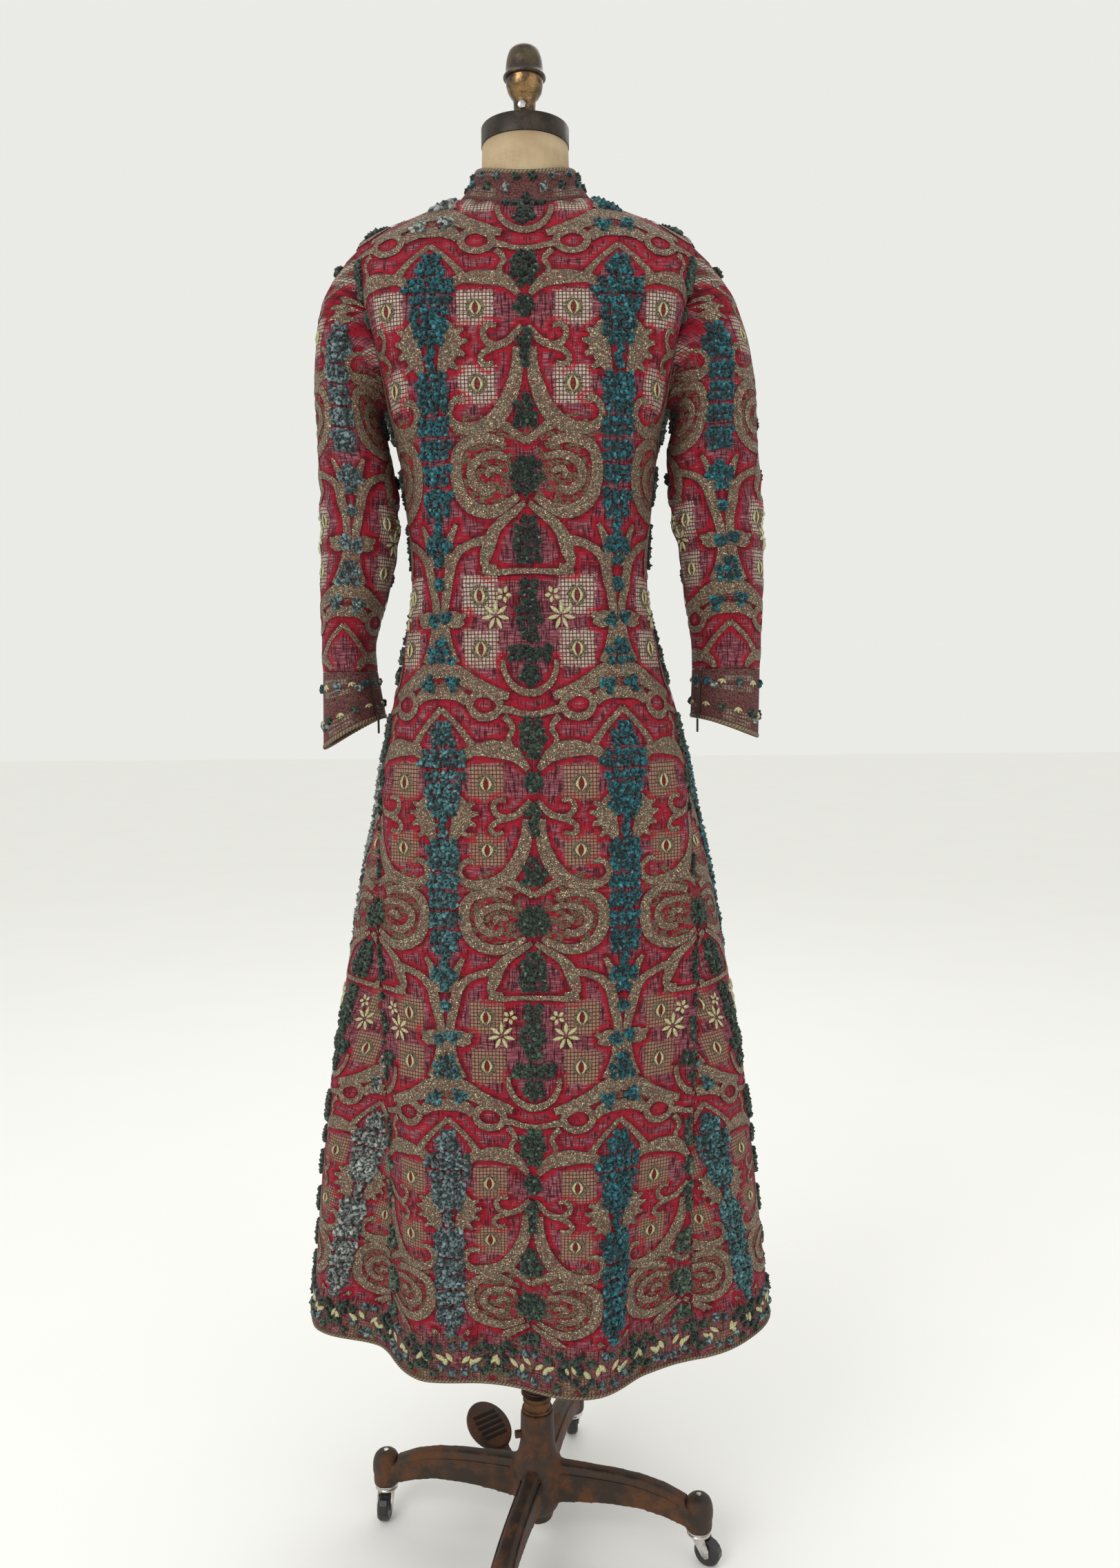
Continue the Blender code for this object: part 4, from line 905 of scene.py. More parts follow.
@dataclass(frozen=True)
class Lame:
    """Taupe and gold curled strapwork, dark maroon along its ragged edges."""

    name: str = "lame_strapwork"
    taupe: tuple = (0.145, 0.108, 0.066, 1.0)
    light: tuple = (0.310, 0.245, 0.160, 1.0)
    dark: tuple = (0.034, 0.022, 0.014, 1.0)
    gold: tuple = (0.950, 0.760, 0.450, 1.0)
    outline: tuple = (0.060, 0.004, 0.009, 1.0)

    def build(self) -> bpy.types.Material:
        """Returns: The finished material."""
        material, graph, shader = new_material(self.name)
        place = graph.position()
        loops = graph.noise(place, 780.0, 2.0, 0.7)
        curl = graph.noise(place, 330.0, 2.0, 0.6)
        colour = graph.mix(graph.span(loops, 0.38, 0.62), self.dark, self.taupe)
        colour = graph.mix(graph.math("MULTIPLY", graph.span(curl, 0.50, 0.66), 0.7), colour, self.light)
        glint = graph.span(graph.noise(place, 760.0, 1.0, 0.5), 0.64, 0.68)
        colour = graph.mix(graph.math("MULTIPLY", glint, 0.9), colour, self.gold)
        weft = graph.noise(graph.stretched(place, (90.0, 90.0, 480.0)), 1.0, 2.0)
        rough_edge = graph.math("ADD", graph.attribute("edge"), graph.math("MULTIPLY", weft, 0.9))
        border = graph.span(rough_edge, 1.58, 1.74)
        red_thread = graph.span(
            graph.noise(graph.stretched(place, (150.0, 150.0, 620.0)), 1.0, 2.0), 0.56, 0.62
        )
        colour = graph.mix(graph.math("MULTIPLY", red_thread, 0.75), colour, (0.150, 0.012, 0.020, 1.0))
        colour = graph.mix(border, colour, self.outline)
        graph.link(colour, shader.inputs["Base Color"])
        shine = graph.math("MULTIPLY", glint, graph.math("SUBTRACT", 1.0, border))
        graph.link(graph.math("MULTIPLY", shine, 0.9), shader.inputs["Metallic"])
        graph.link(graph.span(glint, 0.0, 1.0, 0.72, 0.28), shader.inputs["Roughness"])
        graph.link(graph.bump(graph.math("ADD", loops, curl), 0.9, 0.0012), shader.inputs["Normal"])
        return material


@dataclass(frozen=True)
class Chenille:
    """Velvety tufts that take their dye from the piece, with painted shade at the lumps' bases and painted
    highlights on their tops.
    """

    name: str = "chenille_tufts"

    def build(self) -> bpy.types.Material:
        """Returns: The finished material."""
        material, graph, shader = new_material(self.name)
        # The lumps' depth attribute is painted shading: dark at their bases, brightest at their tops.
        pile = Groups.use(graph, pile_group, Position=graph.position(), Depth=graph.attribute("depth"))
        dye = graph.attribute("dye", "Color")
        # Painted shade: the dye is darkened where the pile noise times the painted shading is low, at the
        # lumps' bases between the tufts.
        dark = graph.mix(1.0, dye, (0.10, 0.12, 0.12, 1.0), "MULTIPLY")
        # Painted highlight: the dye is lightened where that value is high, on the lumps' tops.
        light = graph.mix(0.45, dye, (0.62, 0.70, 0.68, 1.0))
        colour = graph.mix(graph.span(pile.outputs["Shade"], 0.22, 0.80), dark, dye)
        colour = graph.mix(graph.span(pile.outputs["Shade"], 0.74, 1.04), colour, light)
        graph.link(colour, shader.inputs["Base Color"])
        shader.inputs["Roughness"].default_value = 0.92
        shader.inputs["Specular IOR Level"].default_value = 0.10
        shader.inputs["Sheen Weight"].default_value = 0.25
        shader.inputs["Sheen Roughness"].default_value = 0.5
        graph.link(graph.bump(pile.outputs["Height"], 1.0, 0.0011), shader.inputs["Normal"])
        return material


@dataclass(frozen=True)
class SatinStitch:
    """Chartreuse silk stitches laid side by side."""

    name: str = "satin_stitch"
    silk: tuple = (0.560, 0.550, 0.300, 1.0)
    shadow: tuple = (0.230, 0.215, 0.085, 1.0)

    def build(self) -> bpy.types.Material:
        """Returns: The finished material."""
        material, graph, shader = new_material(self.name)
        place = graph.position()
        strand = graph.noise(place, 900.0, 2.0, 0.5)
        colour = graph.mix(graph.span(strand, 0.38, 0.60), self.shadow, self.silk)
        colour = graph.mix(graph.span(graph.attribute("edge"), 0.80, 1.0), colour, self.shadow)
        graph.link(colour, shader.inputs["Base Color"])
        shader.inputs["Roughness"].default_value = 0.42
        shader.inputs["Sheen Weight"].default_value = 0.10
        graph.link(graph.bump(strand, 0.7, 0.0006), shader.inputs["Normal"])
        return material


@dataclass(frozen=True)
class PlainCloth:
    """A plain woven cloth, for the lining and the form's cover."""

    name: str
    base: tuple
    tone: tuple
    roughness: float = 0.8
    threads: float = 900.0

    def build(self) -> bpy.types.Material:
        """Returns: The finished material."""
        material, graph, shader = new_material(self.name)
        place = graph.position()
        split = graph.node("ShaderNodeSeparateXYZ")
        graph.link(place, split.inputs[0])
        turn = graph.math("ADD", split.outputs[0], split.outputs[1])
        flat = graph.node("ShaderNodeCombineXYZ")
        graph.link(turn, flat.inputs[0])
        graph.link(split.outputs[2], flat.inputs[1])
        weave = Groups.use(graph, weave_group, Pattern=flat.outputs[0], Threads=self.threads)
        stain = graph.noise(place, 22.0, 4.0, 0.6)
        mixed = graph.math("ADD", graph.math("MULTIPLY", weave.outputs["Shade"], 0.45), stain)
        graph.link(
            graph.mix(graph.span(mixed, 0.45, 1.15), self.tone, self.base), shader.inputs["Base Color"]
        )
        shader.inputs["Roughness"].default_value = self.roughness
        shader.inputs["Specular IOR Level"].default_value = 0.2
        graph.link(graph.bump(weave.outputs["Height"], 0.25, 0.0004), shader.inputs["Normal"])
        return material


@dataclass(frozen=True)
class TwistedBraid:
    """Taupe and gold cord braid, from the twist that its mesh carries."""

    name: str = "edge_braid"
    dark: tuple = (0.085, 0.056, 0.034, 1.0)
    light: tuple = (0.270, 0.205, 0.125, 1.0)
    gold: tuple = (0.850, 0.620, 0.330, 1.0)

    def build(self) -> bpy.types.Material:
        """Returns: The finished material."""
        material, graph, shader = new_material(self.name)
        place = graph.position()
        twist = graph.attribute("twist")
        strand = graph.math("SINE", twist)
        fuzz = graph.noise(place, 900.0, 2.0, 0.6)
        mixed = graph.math("ADD", graph.math("MULTIPLY", strand, 0.30), fuzz)
        colour = graph.mix(graph.span(mixed, 0.25, 0.85), self.dark, self.light)
        glint = graph.span(graph.noise(place, 1300.0, 1.0), 0.66, 0.70)
        colour = graph.mix(graph.math("MULTIPLY", glint, 0.7), colour, self.gold)
        graph.link(colour, shader.inputs["Base Color"])
        graph.link(graph.math("MULTIPLY", glint, 0.8), shader.inputs["Metallic"])
        graph.link(graph.span(glint, 0.0, 1.0, 0.70, 0.30), shader.inputs["Roughness"])
        graph.link(graph.bump(mixed, 0.9, 0.0010), shader.inputs["Normal"])
        return material


@dataclass(frozen=True)
class WornMetal:
    """Metal with patches of wear, rust or old lacquer."""

    name: str
    base: tuple
    patch: tuple
    metallic: float
    patch_metallic: float
    roughness: float
    patch_roughness: float
    scale: float = 1.0
    bump: float = 0.25

    def build(self) -> bpy.types.Material:
        """Returns: The finished material."""
        material, graph, shader = new_material(self.name)
        place = graph.position()
        wear = Groups.use(graph, tarnish_group, Position=place, Scale=self.scale)
        patches, grain = wear.outputs["Patches"], wear.outputs["Grain"]
        colour = graph.mix(patches, self.base, self.patch)
        speck = graph.math("MULTIPLY", graph.span(grain, 0.35, 0.62), 0.35)
        deep = tuple(0.45 * c for c in self.patch[:3]) + (1.0,)
        graph.link(graph.mix(speck, colour, deep), shader.inputs["Base Color"])
        graph.link(
            graph.span(patches, 0.0, 1.0, self.metallic, self.patch_metallic), shader.inputs["Metallic"]
        )
        graph.link(
            graph.span(patches, 0.0, 1.0, self.roughness, self.patch_roughness), shader.inputs["Roughness"]
        )
        graph.link(graph.bump(grain, self.bump, 0.0007), shader.inputs["Normal"])
        return material


class Finish(Enum):
    """The finishes that the pieces choose from."""

    BROCADE = Brocade()
    LAME = Lame()
    CHENILLE = Chenille()
    SATIN = SatinStitch()
    BRAID = TwistedBraid()
    LINING = PlainCloth("crimson_lining", (0.300, 0.018, 0.026, 1.0), (0.150, 0.008, 0.014, 1.0), 0.6)
    LINEN = PlainCloth("form_linen", (0.560, 0.440, 0.285, 1.0), (0.370, 0.265, 0.150, 1.0), 0.85)
    BRONZE = WornMetal(
        "bronzed_cap", (0.035, 0.030, 0.026, 1.0), (0.070, 0.054, 0.040, 1.0), 0.85, 0.7, 0.40, 0.52
    )
    BRASS = WornMetal(
        "antique_brass", (0.330, 0.200, 0.090, 1.0), (0.040, 0.026, 0.017, 1.0), 1.0, 0.5, 0.22, 0.34, 1.3
    )
    LACQUER = WornMetal(
        "lacquered_brass", (0.035, 0.021, 0.015, 1.0), (0.130, 0.100, 0.062, 1.0), 0.5, 0.9, 0.30, 0.38, 1.4
    )
    IRON = WornMetal(
        "rusted_casting", (0.034, 0.025, 0.019, 1.0), (0.120, 0.046, 0.016, 1.0),
        0.35, 0.05, 0.55, 0.85, 0.7, 0.5
    )
    RUST = WornMetal(
        "bright_rust", (0.170, 0.068, 0.020, 1.0), (0.060, 0.030, 0.016, 1.0), 0.1, 0.3, 0.85, 0.7, 1.6, 0.5
    )
    CHROME = WornMetal(
        "worn_chrome", (0.800, 0.790, 0.770, 1.0), (0.420, 0.370, 0.310, 1.0), 1.0, 0.9, 0.14, 0.34, 1.6, 0.1
    )
    TYRE = WornMetal(
        "hard_tyre", (0.012, 0.012, 0.013, 1.0), (0.035, 0.033, 0.032, 1.0), 0.0, 0.0, 0.30, 0.60, 1.8
    )
    SHADOW = WornMetal(
        "groove_shadow", (0.007, 0.006, 0.005, 1.0), (0.014, 0.010, 0.008, 1.0), 0.0, 0.0, 0.9, 0.95
    )
    ZIP = WornMetal(
        "zip_metal", (0.080, 0.070, 0.058, 1.0), (0.250, 0.220, 0.180, 1.0), 0.9, 0.9, 0.35, 0.45, 3.0
    )

    def material(self) -> bpy.types.Material:
        """Returns: The finish's material, built the first time it is asked for."""
        found = bpy.data.materials.get(self.value.name)
        return found or self.value.build()


def mesh_from(name: str, points: np.ndarray, faces: np.ndarray) -> bpy.types.Mesh:
    """A mesh from arrays, with smooth faces.

    Args:
        name: Name of the mesh.
        points: Vertex places.
        faces: Rows of three or four vertex numbers.

    Returns:
        The new mesh.
    """
    mesh = bpy.data.meshes.new(name)
    count, size = faces.shape
    mesh.vertices.add(len(points))
    mesh.vertices.foreach_set("co", np.ascontiguousarray(points, np.float32).ravel())
    mesh.loops.add(count * size)
    mesh.loops.foreach_set("vertex_index", np.ascontiguousarray(faces, np.int32).ravel())
    mesh.polygons.add(count)
    mesh.polygons.foreach_set("loop_start", np.arange(0, count * size, size, dtype=np.int32))
    mesh.update(calc_edges=True)
    mesh.validate()
    mesh.shade_smooth()
    return mesh


def store(mesh: bpy.types.Mesh, name: str, values: np.ndarray) -> None:
    """Keeps a number for each vertex."""
    kept = mesh.attributes.new(name, "FLOAT", "POINT")
    kept.data.foreach_set("value", np.ascontiguousarray(values, np.float32).ravel())


def store_dye(mesh: bpy.types.Mesh, colours: np.ndarray) -> None:
    """Keeps a colour for each vertex."""
    kept = mesh.attributes.new("dye", "FLOAT_COLOR", "POINT")
    full = np.concatenate((colours, np.ones((len(colours), 1))), axis=1)
    kept.data.foreach_set("color", np.ascontiguousarray(full, np.float32).ravel())


def store_pattern(mesh: bpy.types.Mesh, places: np.ndarray) -> None:
    """Keeps the pattern coordinates of each vertex as a UV map."""
    layer = mesh.uv_layers.new(name="pattern")
    index = np.empty(len(mesh.loops), np.int32)
    mesh.loops.foreach_get("vertex_index", index)
    layer.data.foreach_set("uv", np.ascontiguousarray(places[index], np.float32).ravel())


def add_piece(
    name: str,
    mesh: bpy.types.Mesh,
    finish: Finish,
    body: str = MAST,
    replaced: Iterable[str] = (),
) -> bpy.types.Object:
    """Puts a finished piece on a body.

    Args:
        name: Name of the piece.
        mesh: Its mesh, already in place.
        finish: Its finish.
        body: Body that carries it.
        replaced: CAD nodes that it stands for.

    Returns:
        The new object.
    """
    made = bpy.data.objects.new(name, mesh)
    bpy.context.scene.collection.objects.link(made)
    mesh.materials.clear()
    mesh.materials.append(finish.material())
    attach(made, body)
    if replaced:
        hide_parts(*replaced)
    LOG.info("%s: %d faces on %s", name, len(mesh.polygons), body)
    return made


def grid_faces(rows: int, columns: int, closed: bool = False, start: int = 0) -> np.ndarray:
    """Quads between the points of a grid."""
    spans = columns if closed else columns - 1
    i, j = np.meshgrid(np.arange(rows - 1), np.arange(spans), indexing="ij")
    k = (j + 1) % columns
    faces = np.stack(
        (i * columns + j, i * columns + k, (i + 1) * columns + k, (i + 1) * columns + j), axis=-1
    )
    return faces.reshape(-1, 4) + start


def turned_outwards(points: np.ndarray, faces: np.ndarray, normals: np.ndarray) -> np.ndarray:
    """The faces, each turned to the side of its first vertex's normal."""
    a, b, c = (points[faces[:, k]] for k in (0, 1, 2))
    last = points[faces[:, -1]]
    facing = np.cross(b - a, last - a) + np.cross(c - b, a - b) * 0.0
    wrong = (facing * normals[faces[:, 0]]).sum(axis=1) < 0
    fixed = faces.copy()
    fixed[wrong] = faces[wrong][:, ::-1]
    return fixed


def cloth_piece(
    panel: Panel, near: np.ndarray, lace: np.ndarray, replaced: Sequence[str]
) -> bpy.types.Object:
    """A panel as a thin lined cloth, outer face patterned and inner face plain.

    Args:
        panel: The cut panel.
        near: Distance of each point from the strapwork.
        lace: How much of the cloth is covered with metal thread, from 0 to 1.
        replaced: CAD nodes that it stands for.

    Returns:
        The cloth's object.
    """
    columns = panel.points.shape[1] - (1 if panel.closed else 0)
    rows = panel.points.shape[0]
    outer = panel.points[:, :columns].reshape(-1, 3)
    normals = panel.normals[:, :columns].reshape(-1, 3)
    inner = outer - normals * CLOTH
    count = len(outer)
    front = turned_outwards(outer, grid_faces(rows, columns, panel.closed), normals)
    back = front[:, ::-1] + count
    rims = []
    for row in (0, rows - 1):
        line = row * columns + np.arange(columns + (1 if panel.closed else 0)) % columns
        rims.append(np.stack((line[:-1], line[1:], line[1:] + count, line[:-1] + count), axis=-1))
    if not panel.closed:
        for column in (0, columns - 1):
            line = np.arange(rows) * columns + column
            rims.append(np.stack((line[:-1], line[1:], line[1:] + count, line[:-1] + count), axis=-1))
    faces = np.concatenate((front, back, *rims))
    mesh = mesh_from(panel.name, np.concatenate((outer, inner)), faces)
    edit = bmesh.new()
    edit.from_mesh(mesh)
    bmesh.ops.recalc_face_normals(edit, faces=edit.faces)
    edit.to_mesh(mesh)
    edit.free()
    pattern = np.stack((panel.across[:, :columns], panel.down[:, :columns]), axis=-1).reshape(-1, 2)
    store_pattern(mesh, np.concatenate((pattern, pattern)))
    for name, values in (("near", near), ("lace", lace)):
        flat_values = values[:, :columns].reshape(-1)
        store(mesh, name, np.concatenate((flat_values, flat_values)))
    made = add_piece(f"{panel.name}_cloth", mesh, Finish.BROCADE, MAST, replaced)
    mesh.materials.append(Finish.LINING.material())
    kinds = np.zeros(len(faces), np.int32)
    kinds[len(front) : len(front) + len(back)] = 1
    mesh.polygons.foreach_set("material_index", kinds)
    return made


@dataclass
class Stroke:
    """A band of strapwork in one half of the repeat.

    Attributes:
        points: Places as (distance across in mm, position down in repeats).
        widths: Width in mm, one for the whole band or one for each point.
        looped: Whether the band closes on itself.
    """

    points: tuple
    widths: tuple = (6.0,)
    looped: bool = False

    def path(self, step: float = 0.0038) -> tuple[np.ndarray, np.ndarray]:
        """Centre line in metres at even steps, and its half widths."""
        table = np.array([(s / 1000, w * REPEAT_METRES) for s, w in self.points])
        widths = np.array(self.widths, float)
        if len(widths) == 1:
            widths = np.repeat(widths, len(table))
        table = np.concatenate((table, widths[:, None] / 2000 * BAND_SHARE), axis=1)
        if self.looped:
            table = np.concatenate((table[-2:], table, table[:3]))
            places = np.linspace(2.0, len(table) - 3.0, 300)
        else:
            places = np.linspace(0.0, len(table) - 1.0, 300)
        fine = smooth_values(table, places)
        length = np.concatenate(((0.0,), np.cumsum(np.linalg.norm(np.diff(fine[:, :2], axis=0), axis=1))))
        count = max(3, int(length[-1] / step) + 1)
        even = np.linspace(0.0, length[-1], count)
        line = np.stack([np.interp(even, length, fine[:, k]) for k in range(3)], axis=-1)
        return line[:, :2], line[:, 2]


BAND_SHARE = 0.92
OUTLINE = 0.0011
PROUD = np.array((0.00015, 0.0004, 0.0005, 0.0004, 0.00015))


class Strapwork:
    """The raised bands of one repeat, laid over every panel in mirrored halves."""

    strokes: tuple[Stroke, ...] = (
        Stroke(((100, 0.000), (93, 0.014), (83, 0.033), (72, 0.059), (66, 0.078)), (5, 5, 5, 6, 9)),
        Stroke(((62, 0.082), (70, 0.090), (77, 0.102), (80, 0.114)), (10, 11, 8, 4)),
        Stroke(((6, 0.126), (12, 0.111), (18, 0.098), (28, 0.088), (42, 0.083), (56, 0.084), (66, 0.088)),
               (5, 9, 13, 17, 17, 13, 9)),
        Stroke(((24, 0.084), (26, 0.060), (21, 0.044), (24, 0.028), (30, 0.016)), (6, 4, 5, 5, 6)),
        Stroke(((3, 0.200), (10, 0.216), (18, 0.234), (30, 0.243), (40, 0.234), (44, 0.212), (38, 0.196),
                (30, 0.199)), (6, 6, 7, 7, 6, 5, 5, 3)),
        Stroke(
            ((22, 0.240), (34, 0.248), (43, 0.258), (47, 0.274), (41, 0.287), (33, 0.281)), (6, 6, 5, 5, 5, 3)
        ),
        Stroke(((9, 0.246), (8, 0.280), (10, 0.312), (15, 0.345), (22, 0.375), (32, 0.400), (46, 0.415),
                (62, 0.420), (75, 0.412), (82, 0.392), (79, 0.368), (71, 0.356), (64, 0.361)),
               (6, 11, 14, 16, 18, 17, 14, 12, 9, 7, 6, 6, 3)),
        Stroke(((0, 0.448), (10, 0.433), (22, 0.416), (34, 0.406)), (6, 7, 9, 10)),
        Stroke(((84, 0.186), (80, 0.205), (78, 0.225), (79, 0.245), (82, 0.265), (86, 0.285), (90, 0.305)),
               (5, 14, 21, 23, 19, 13, 5)),
        Stroke(((74, 0.217), (69, 0.209), (64, 0.206)), (8, 5, 2)),
        Stroke(((72, 0.236), (66, 0.233), (60, 0.231)), (10, 6, 2)),
        Stroke(((74, 0.256), (68, 0.259), (63, 0.264)), (9, 6, 2)),
        Stroke(((80, 0.280), (75, 0.287), (71, 0.294)), (8, 5, 2)),
        Stroke(((24, 0.452), (38, 0.441), (54, 0.441), (68, 0.453), (76, 0.480), (76, 0.522), (70, 0.556),
                (56, 0.578), (38, 0.584), (22, 0.572), (9, 0.556)), (8, 9, 10, 11, 12, 13, 13, 12, 11, 8, 5)),
        Stroke(((20, 0.482), (33, 0.474), (48, 0.480), (59, 0.500), (58, 0.528), (46, 0.545), (34, 0.540)),
               (6, 7, 8, 9, 9, 8, 4)),
        Stroke(((28, 0.512), (34, 0.504), (42, 0.508), (40, 0.520)), (4, 6, 6, 4)),
        Stroke(((2, 0.568), (15, 0.586), (29, 0.606), (38, 0.628), (43, 0.655), (47, 0.684), (40, 0.693),
                (34, 0.690)), (4, 7, 9, 13, 14, 9, 5, 3)),
        Stroke(((43, 0.638), (58, 0.643), (74, 0.658), (84, 0.682), (89, 0.716), (93, 0.755), (95, 0.790),
                (94, 0.827), (91, 0.866), (85, 0.902)), (9, 7, 8, 10, 12, 10, 9, 11, 14, 18)),
        Stroke(((78, 0.606), (84, 0.628), (88, 0.652), (92, 0.690)), (3, 7, 9, 8)),
        Stroke(((0, 0.700), (16, 0.700), (34, 0.702), (50, 0.698)), (4, 4, 5, 6)),
        Stroke(((93, 0.798), (84, 0.792), (76, 0.797), (69, 0.791)), (7, 9, 8, 3)),
        Stroke(((92, 0.806), (81, 0.812), (71, 0.807)), (6, 8, 3)),
        Stroke(((100, 0.914), (90, 0.915), (78, 0.926), (64, 0.943), (48, 0.957), (36, 0.966), (24, 0.974)),
               (16, 18, 19, 16, 12, 10, 7)),
        Stroke(((100, 0.966), (88, 0.965), (77, 0.972), (70, 0.986)), (12, 13, 13, 9)),
        Stroke(((50, 0.966), (63, 0.974), (67, 0.993), (61, 1.012), (49, 1.018), (37, 1.008), (35, 0.984)),
               (7,), True),
        Stroke(((36, 1.000), (24, 1.003), (12, 1.010), (0, 1.013)), (8, 6, 5, 5)),
        Stroke(((29, 0.893), (28, 0.918), (21, 0.946), (10, 0.962), (0, 0.967)), (4, 5, 6, 7, 7)),
    )

    def distances(self, across: np.ndarray, down: np.ndarray) -> np.ndarray:
        """Distance from places in the pattern to the nearest band's edge.

        Args:
            across: Distances from a green column.
            down: Positions in repeats.

        Returns:
            Distances in metres, below zero inside a band.
        """
        lines, halves = zip(*(stroke.path() for stroke in self.strokes))
        line, half = np.concatenate(lines), np.concatenate(halves)
        around = np.concatenate([line + (0.0, repeat * REPEAT_METRES) for repeat in (-1, 0, 1)])
        half = np.tile(half, 3)
        strip = np.floor(across / SPACING)
        s = across - strip * SPACING
        s = np.where(strip % 2 == 0, s, SPACING - s).ravel()
        w = ((down - np.floor(down)) * REPEAT_METRES).ravel()
        found = np.empty(len(s))
        for first in range(0, len(s), 2000):
            part = slice(first, first + 2000)
            gap = np.hypot(
                s[part, None] - around[None, :, 0], w[part, None] - around[None, :, 1]
            ) - half[None, :]
            found[part] = gap.min(axis=1)
        return found.reshape(across.shape)

    def lay(self, panel: Panel, shift: float = 0.0, keep: Optional[Callable] = None) -> bpy.types.Mesh:
        """The strapwork over a panel.

        Args:
            panel: The panel that carries it.
            shift: Distance from the panel's zero to a green column.
            keep: Test of the placed points, true where the band stays.

        Returns:
            The bands as one mesh.
        """
        low_u, high_u = panel.across.min() + shift, panel.across.max() + shift
        repeats = np.arange(math.floor(panel.down.min()) - 1, math.ceil(panel.down.max()) + 1)
        strips = np.arange(math.floor(low_u / SPACING), math.ceil(high_u / SPACING))
        parts = MeshParts()
        for order, stroke in enumerate(self.strokes):
            line, half = stroke.path()
            tangent = np.gradient(line, axis=0)
            tangent /= np.linalg.norm(tangent, axis=1, keepdims=True) + 1e-12
            side = np.stack((-tangent[:, 1], tangent[:, 0]), axis=1)
            reach = half + OUTLINE
            offsets = np.stack((-reach, -half * 0.80, half * 0.0, half * 0.80, reach), axis=1)
            places = line[:, None, :] + side[:, None, :] * offsets[..., None]
            edge = np.broadcast_to(np.array((1.35, 0.80, 0.0, 0.80, 1.35)), offsets.shape)
            height = PROUD[None, :] + 0.000025 * order
            for strip in strips:
                s = places[..., 0]
                u = strip * SPACING + (s if strip % 2 == 0 else SPACING - s) - shift
                for repeat in repeats:
                    w = places[..., 1] / REPEAT_METRES + repeat
                    points, normals, inside = panel.place(u, w, height)
                    if keep is not None:
                        inside = inside & keep(points)
                    parts.add_grid(points, normals, inside, {"edge": edge})
        return parts.mesh(f"{panel.name}_strapwork")


class MeshParts:
    """Gathers many small grids into one mesh."""

    def __init__(self) -> None:
        """Starts with nothing gathered."""
        self.points: list[np.ndarray] = []
        self.faces: list[np.ndarray] = []
        self.values: dict[str, list[np.ndarray]] = {}
        self.count = 0

    def add(self, points: np.ndarray, faces: np.ndarray, values: dict[str, np.ndarray]) -> None:
        """Adds points, their faces and a value of each kind for each point."""
        if not len(faces):
            return
        used = np.unique(faces)
        renumber = np.zeros(len(points), int)
        renumber[used] = np.arange(len(used))
        self.points.append(points[used])
        self.faces.append(renumber[faces] + self.count)
        for name, value in values.items():
            self.values.setdefault(name, []).append(value[used])
        self.count += len(used)

    def add_grid(
        self, points: np.ndarray, normals: np.ndarray, inside: np.ndarray, values: dict[str, np.ndarray]
    ) -> None:
        """Adds the quads of a grid whose corners all lie on the panel."""
        if not inside.any():
            return
        rows, columns = inside.shape
        faces = grid_faces(rows, columns)
        flat = inside.reshape(-1)
        faces = faces[flat[faces].all(axis=1)]
        if not len(faces):
            return
        places, out = points.reshape(-1, 3), normals.reshape(-1, 3)
        faces = turned_outwards(places, faces, out)
        self.add(places, faces, {name: value.reshape(-1) for name, value in values.items()})

    def mesh(self, name: str) -> bpy.types.Mesh:
        """The gathered mesh, with its values as attributes."""
        made = mesh_from(name, np.concatenate(self.points), np.concatenate(self.faces))
        for key, parts in self.values.items():
            if parts[0].ndim == 2:
                store_dye(made, np.concatenate(parts))
            else:
                store(made, key, np.concatenate(parts))
        return made


class Dye(Enum):
    """Dyes of the chenille, as plain colours."""

    TEAL = (0.010, 0.165, 0.205)
    TEAL_PALE = (0.070, 0.225, 0.250)
    GREY_BLUE = (0.180, 0.255, 0.270)
    PALE = (0.380, 0.405, 0.380)
    BOTTLE = (0.018, 0.050, 0.028)
    FOREST = (0.042, 0.085, 0.050)
    GREY_GREEN = (0.090, 0.140, 0.085)


@dataclass(frozen=True)
class Tuft:
    """A mass of chenille on a column, half as wide in mm as its outline of (position, half width) says."""

    outline: tuple


@dataclass(frozen=True)
class Rosette:
    """A round chenille rosette in rings.

    Attributes:
        down: Position in repeats.
        radius: Radius in mm.
        offset: Distance from the column, in mm.
    """

    down: float
    radius: float
    offset: float = 0.0


PUFF = 0.0098


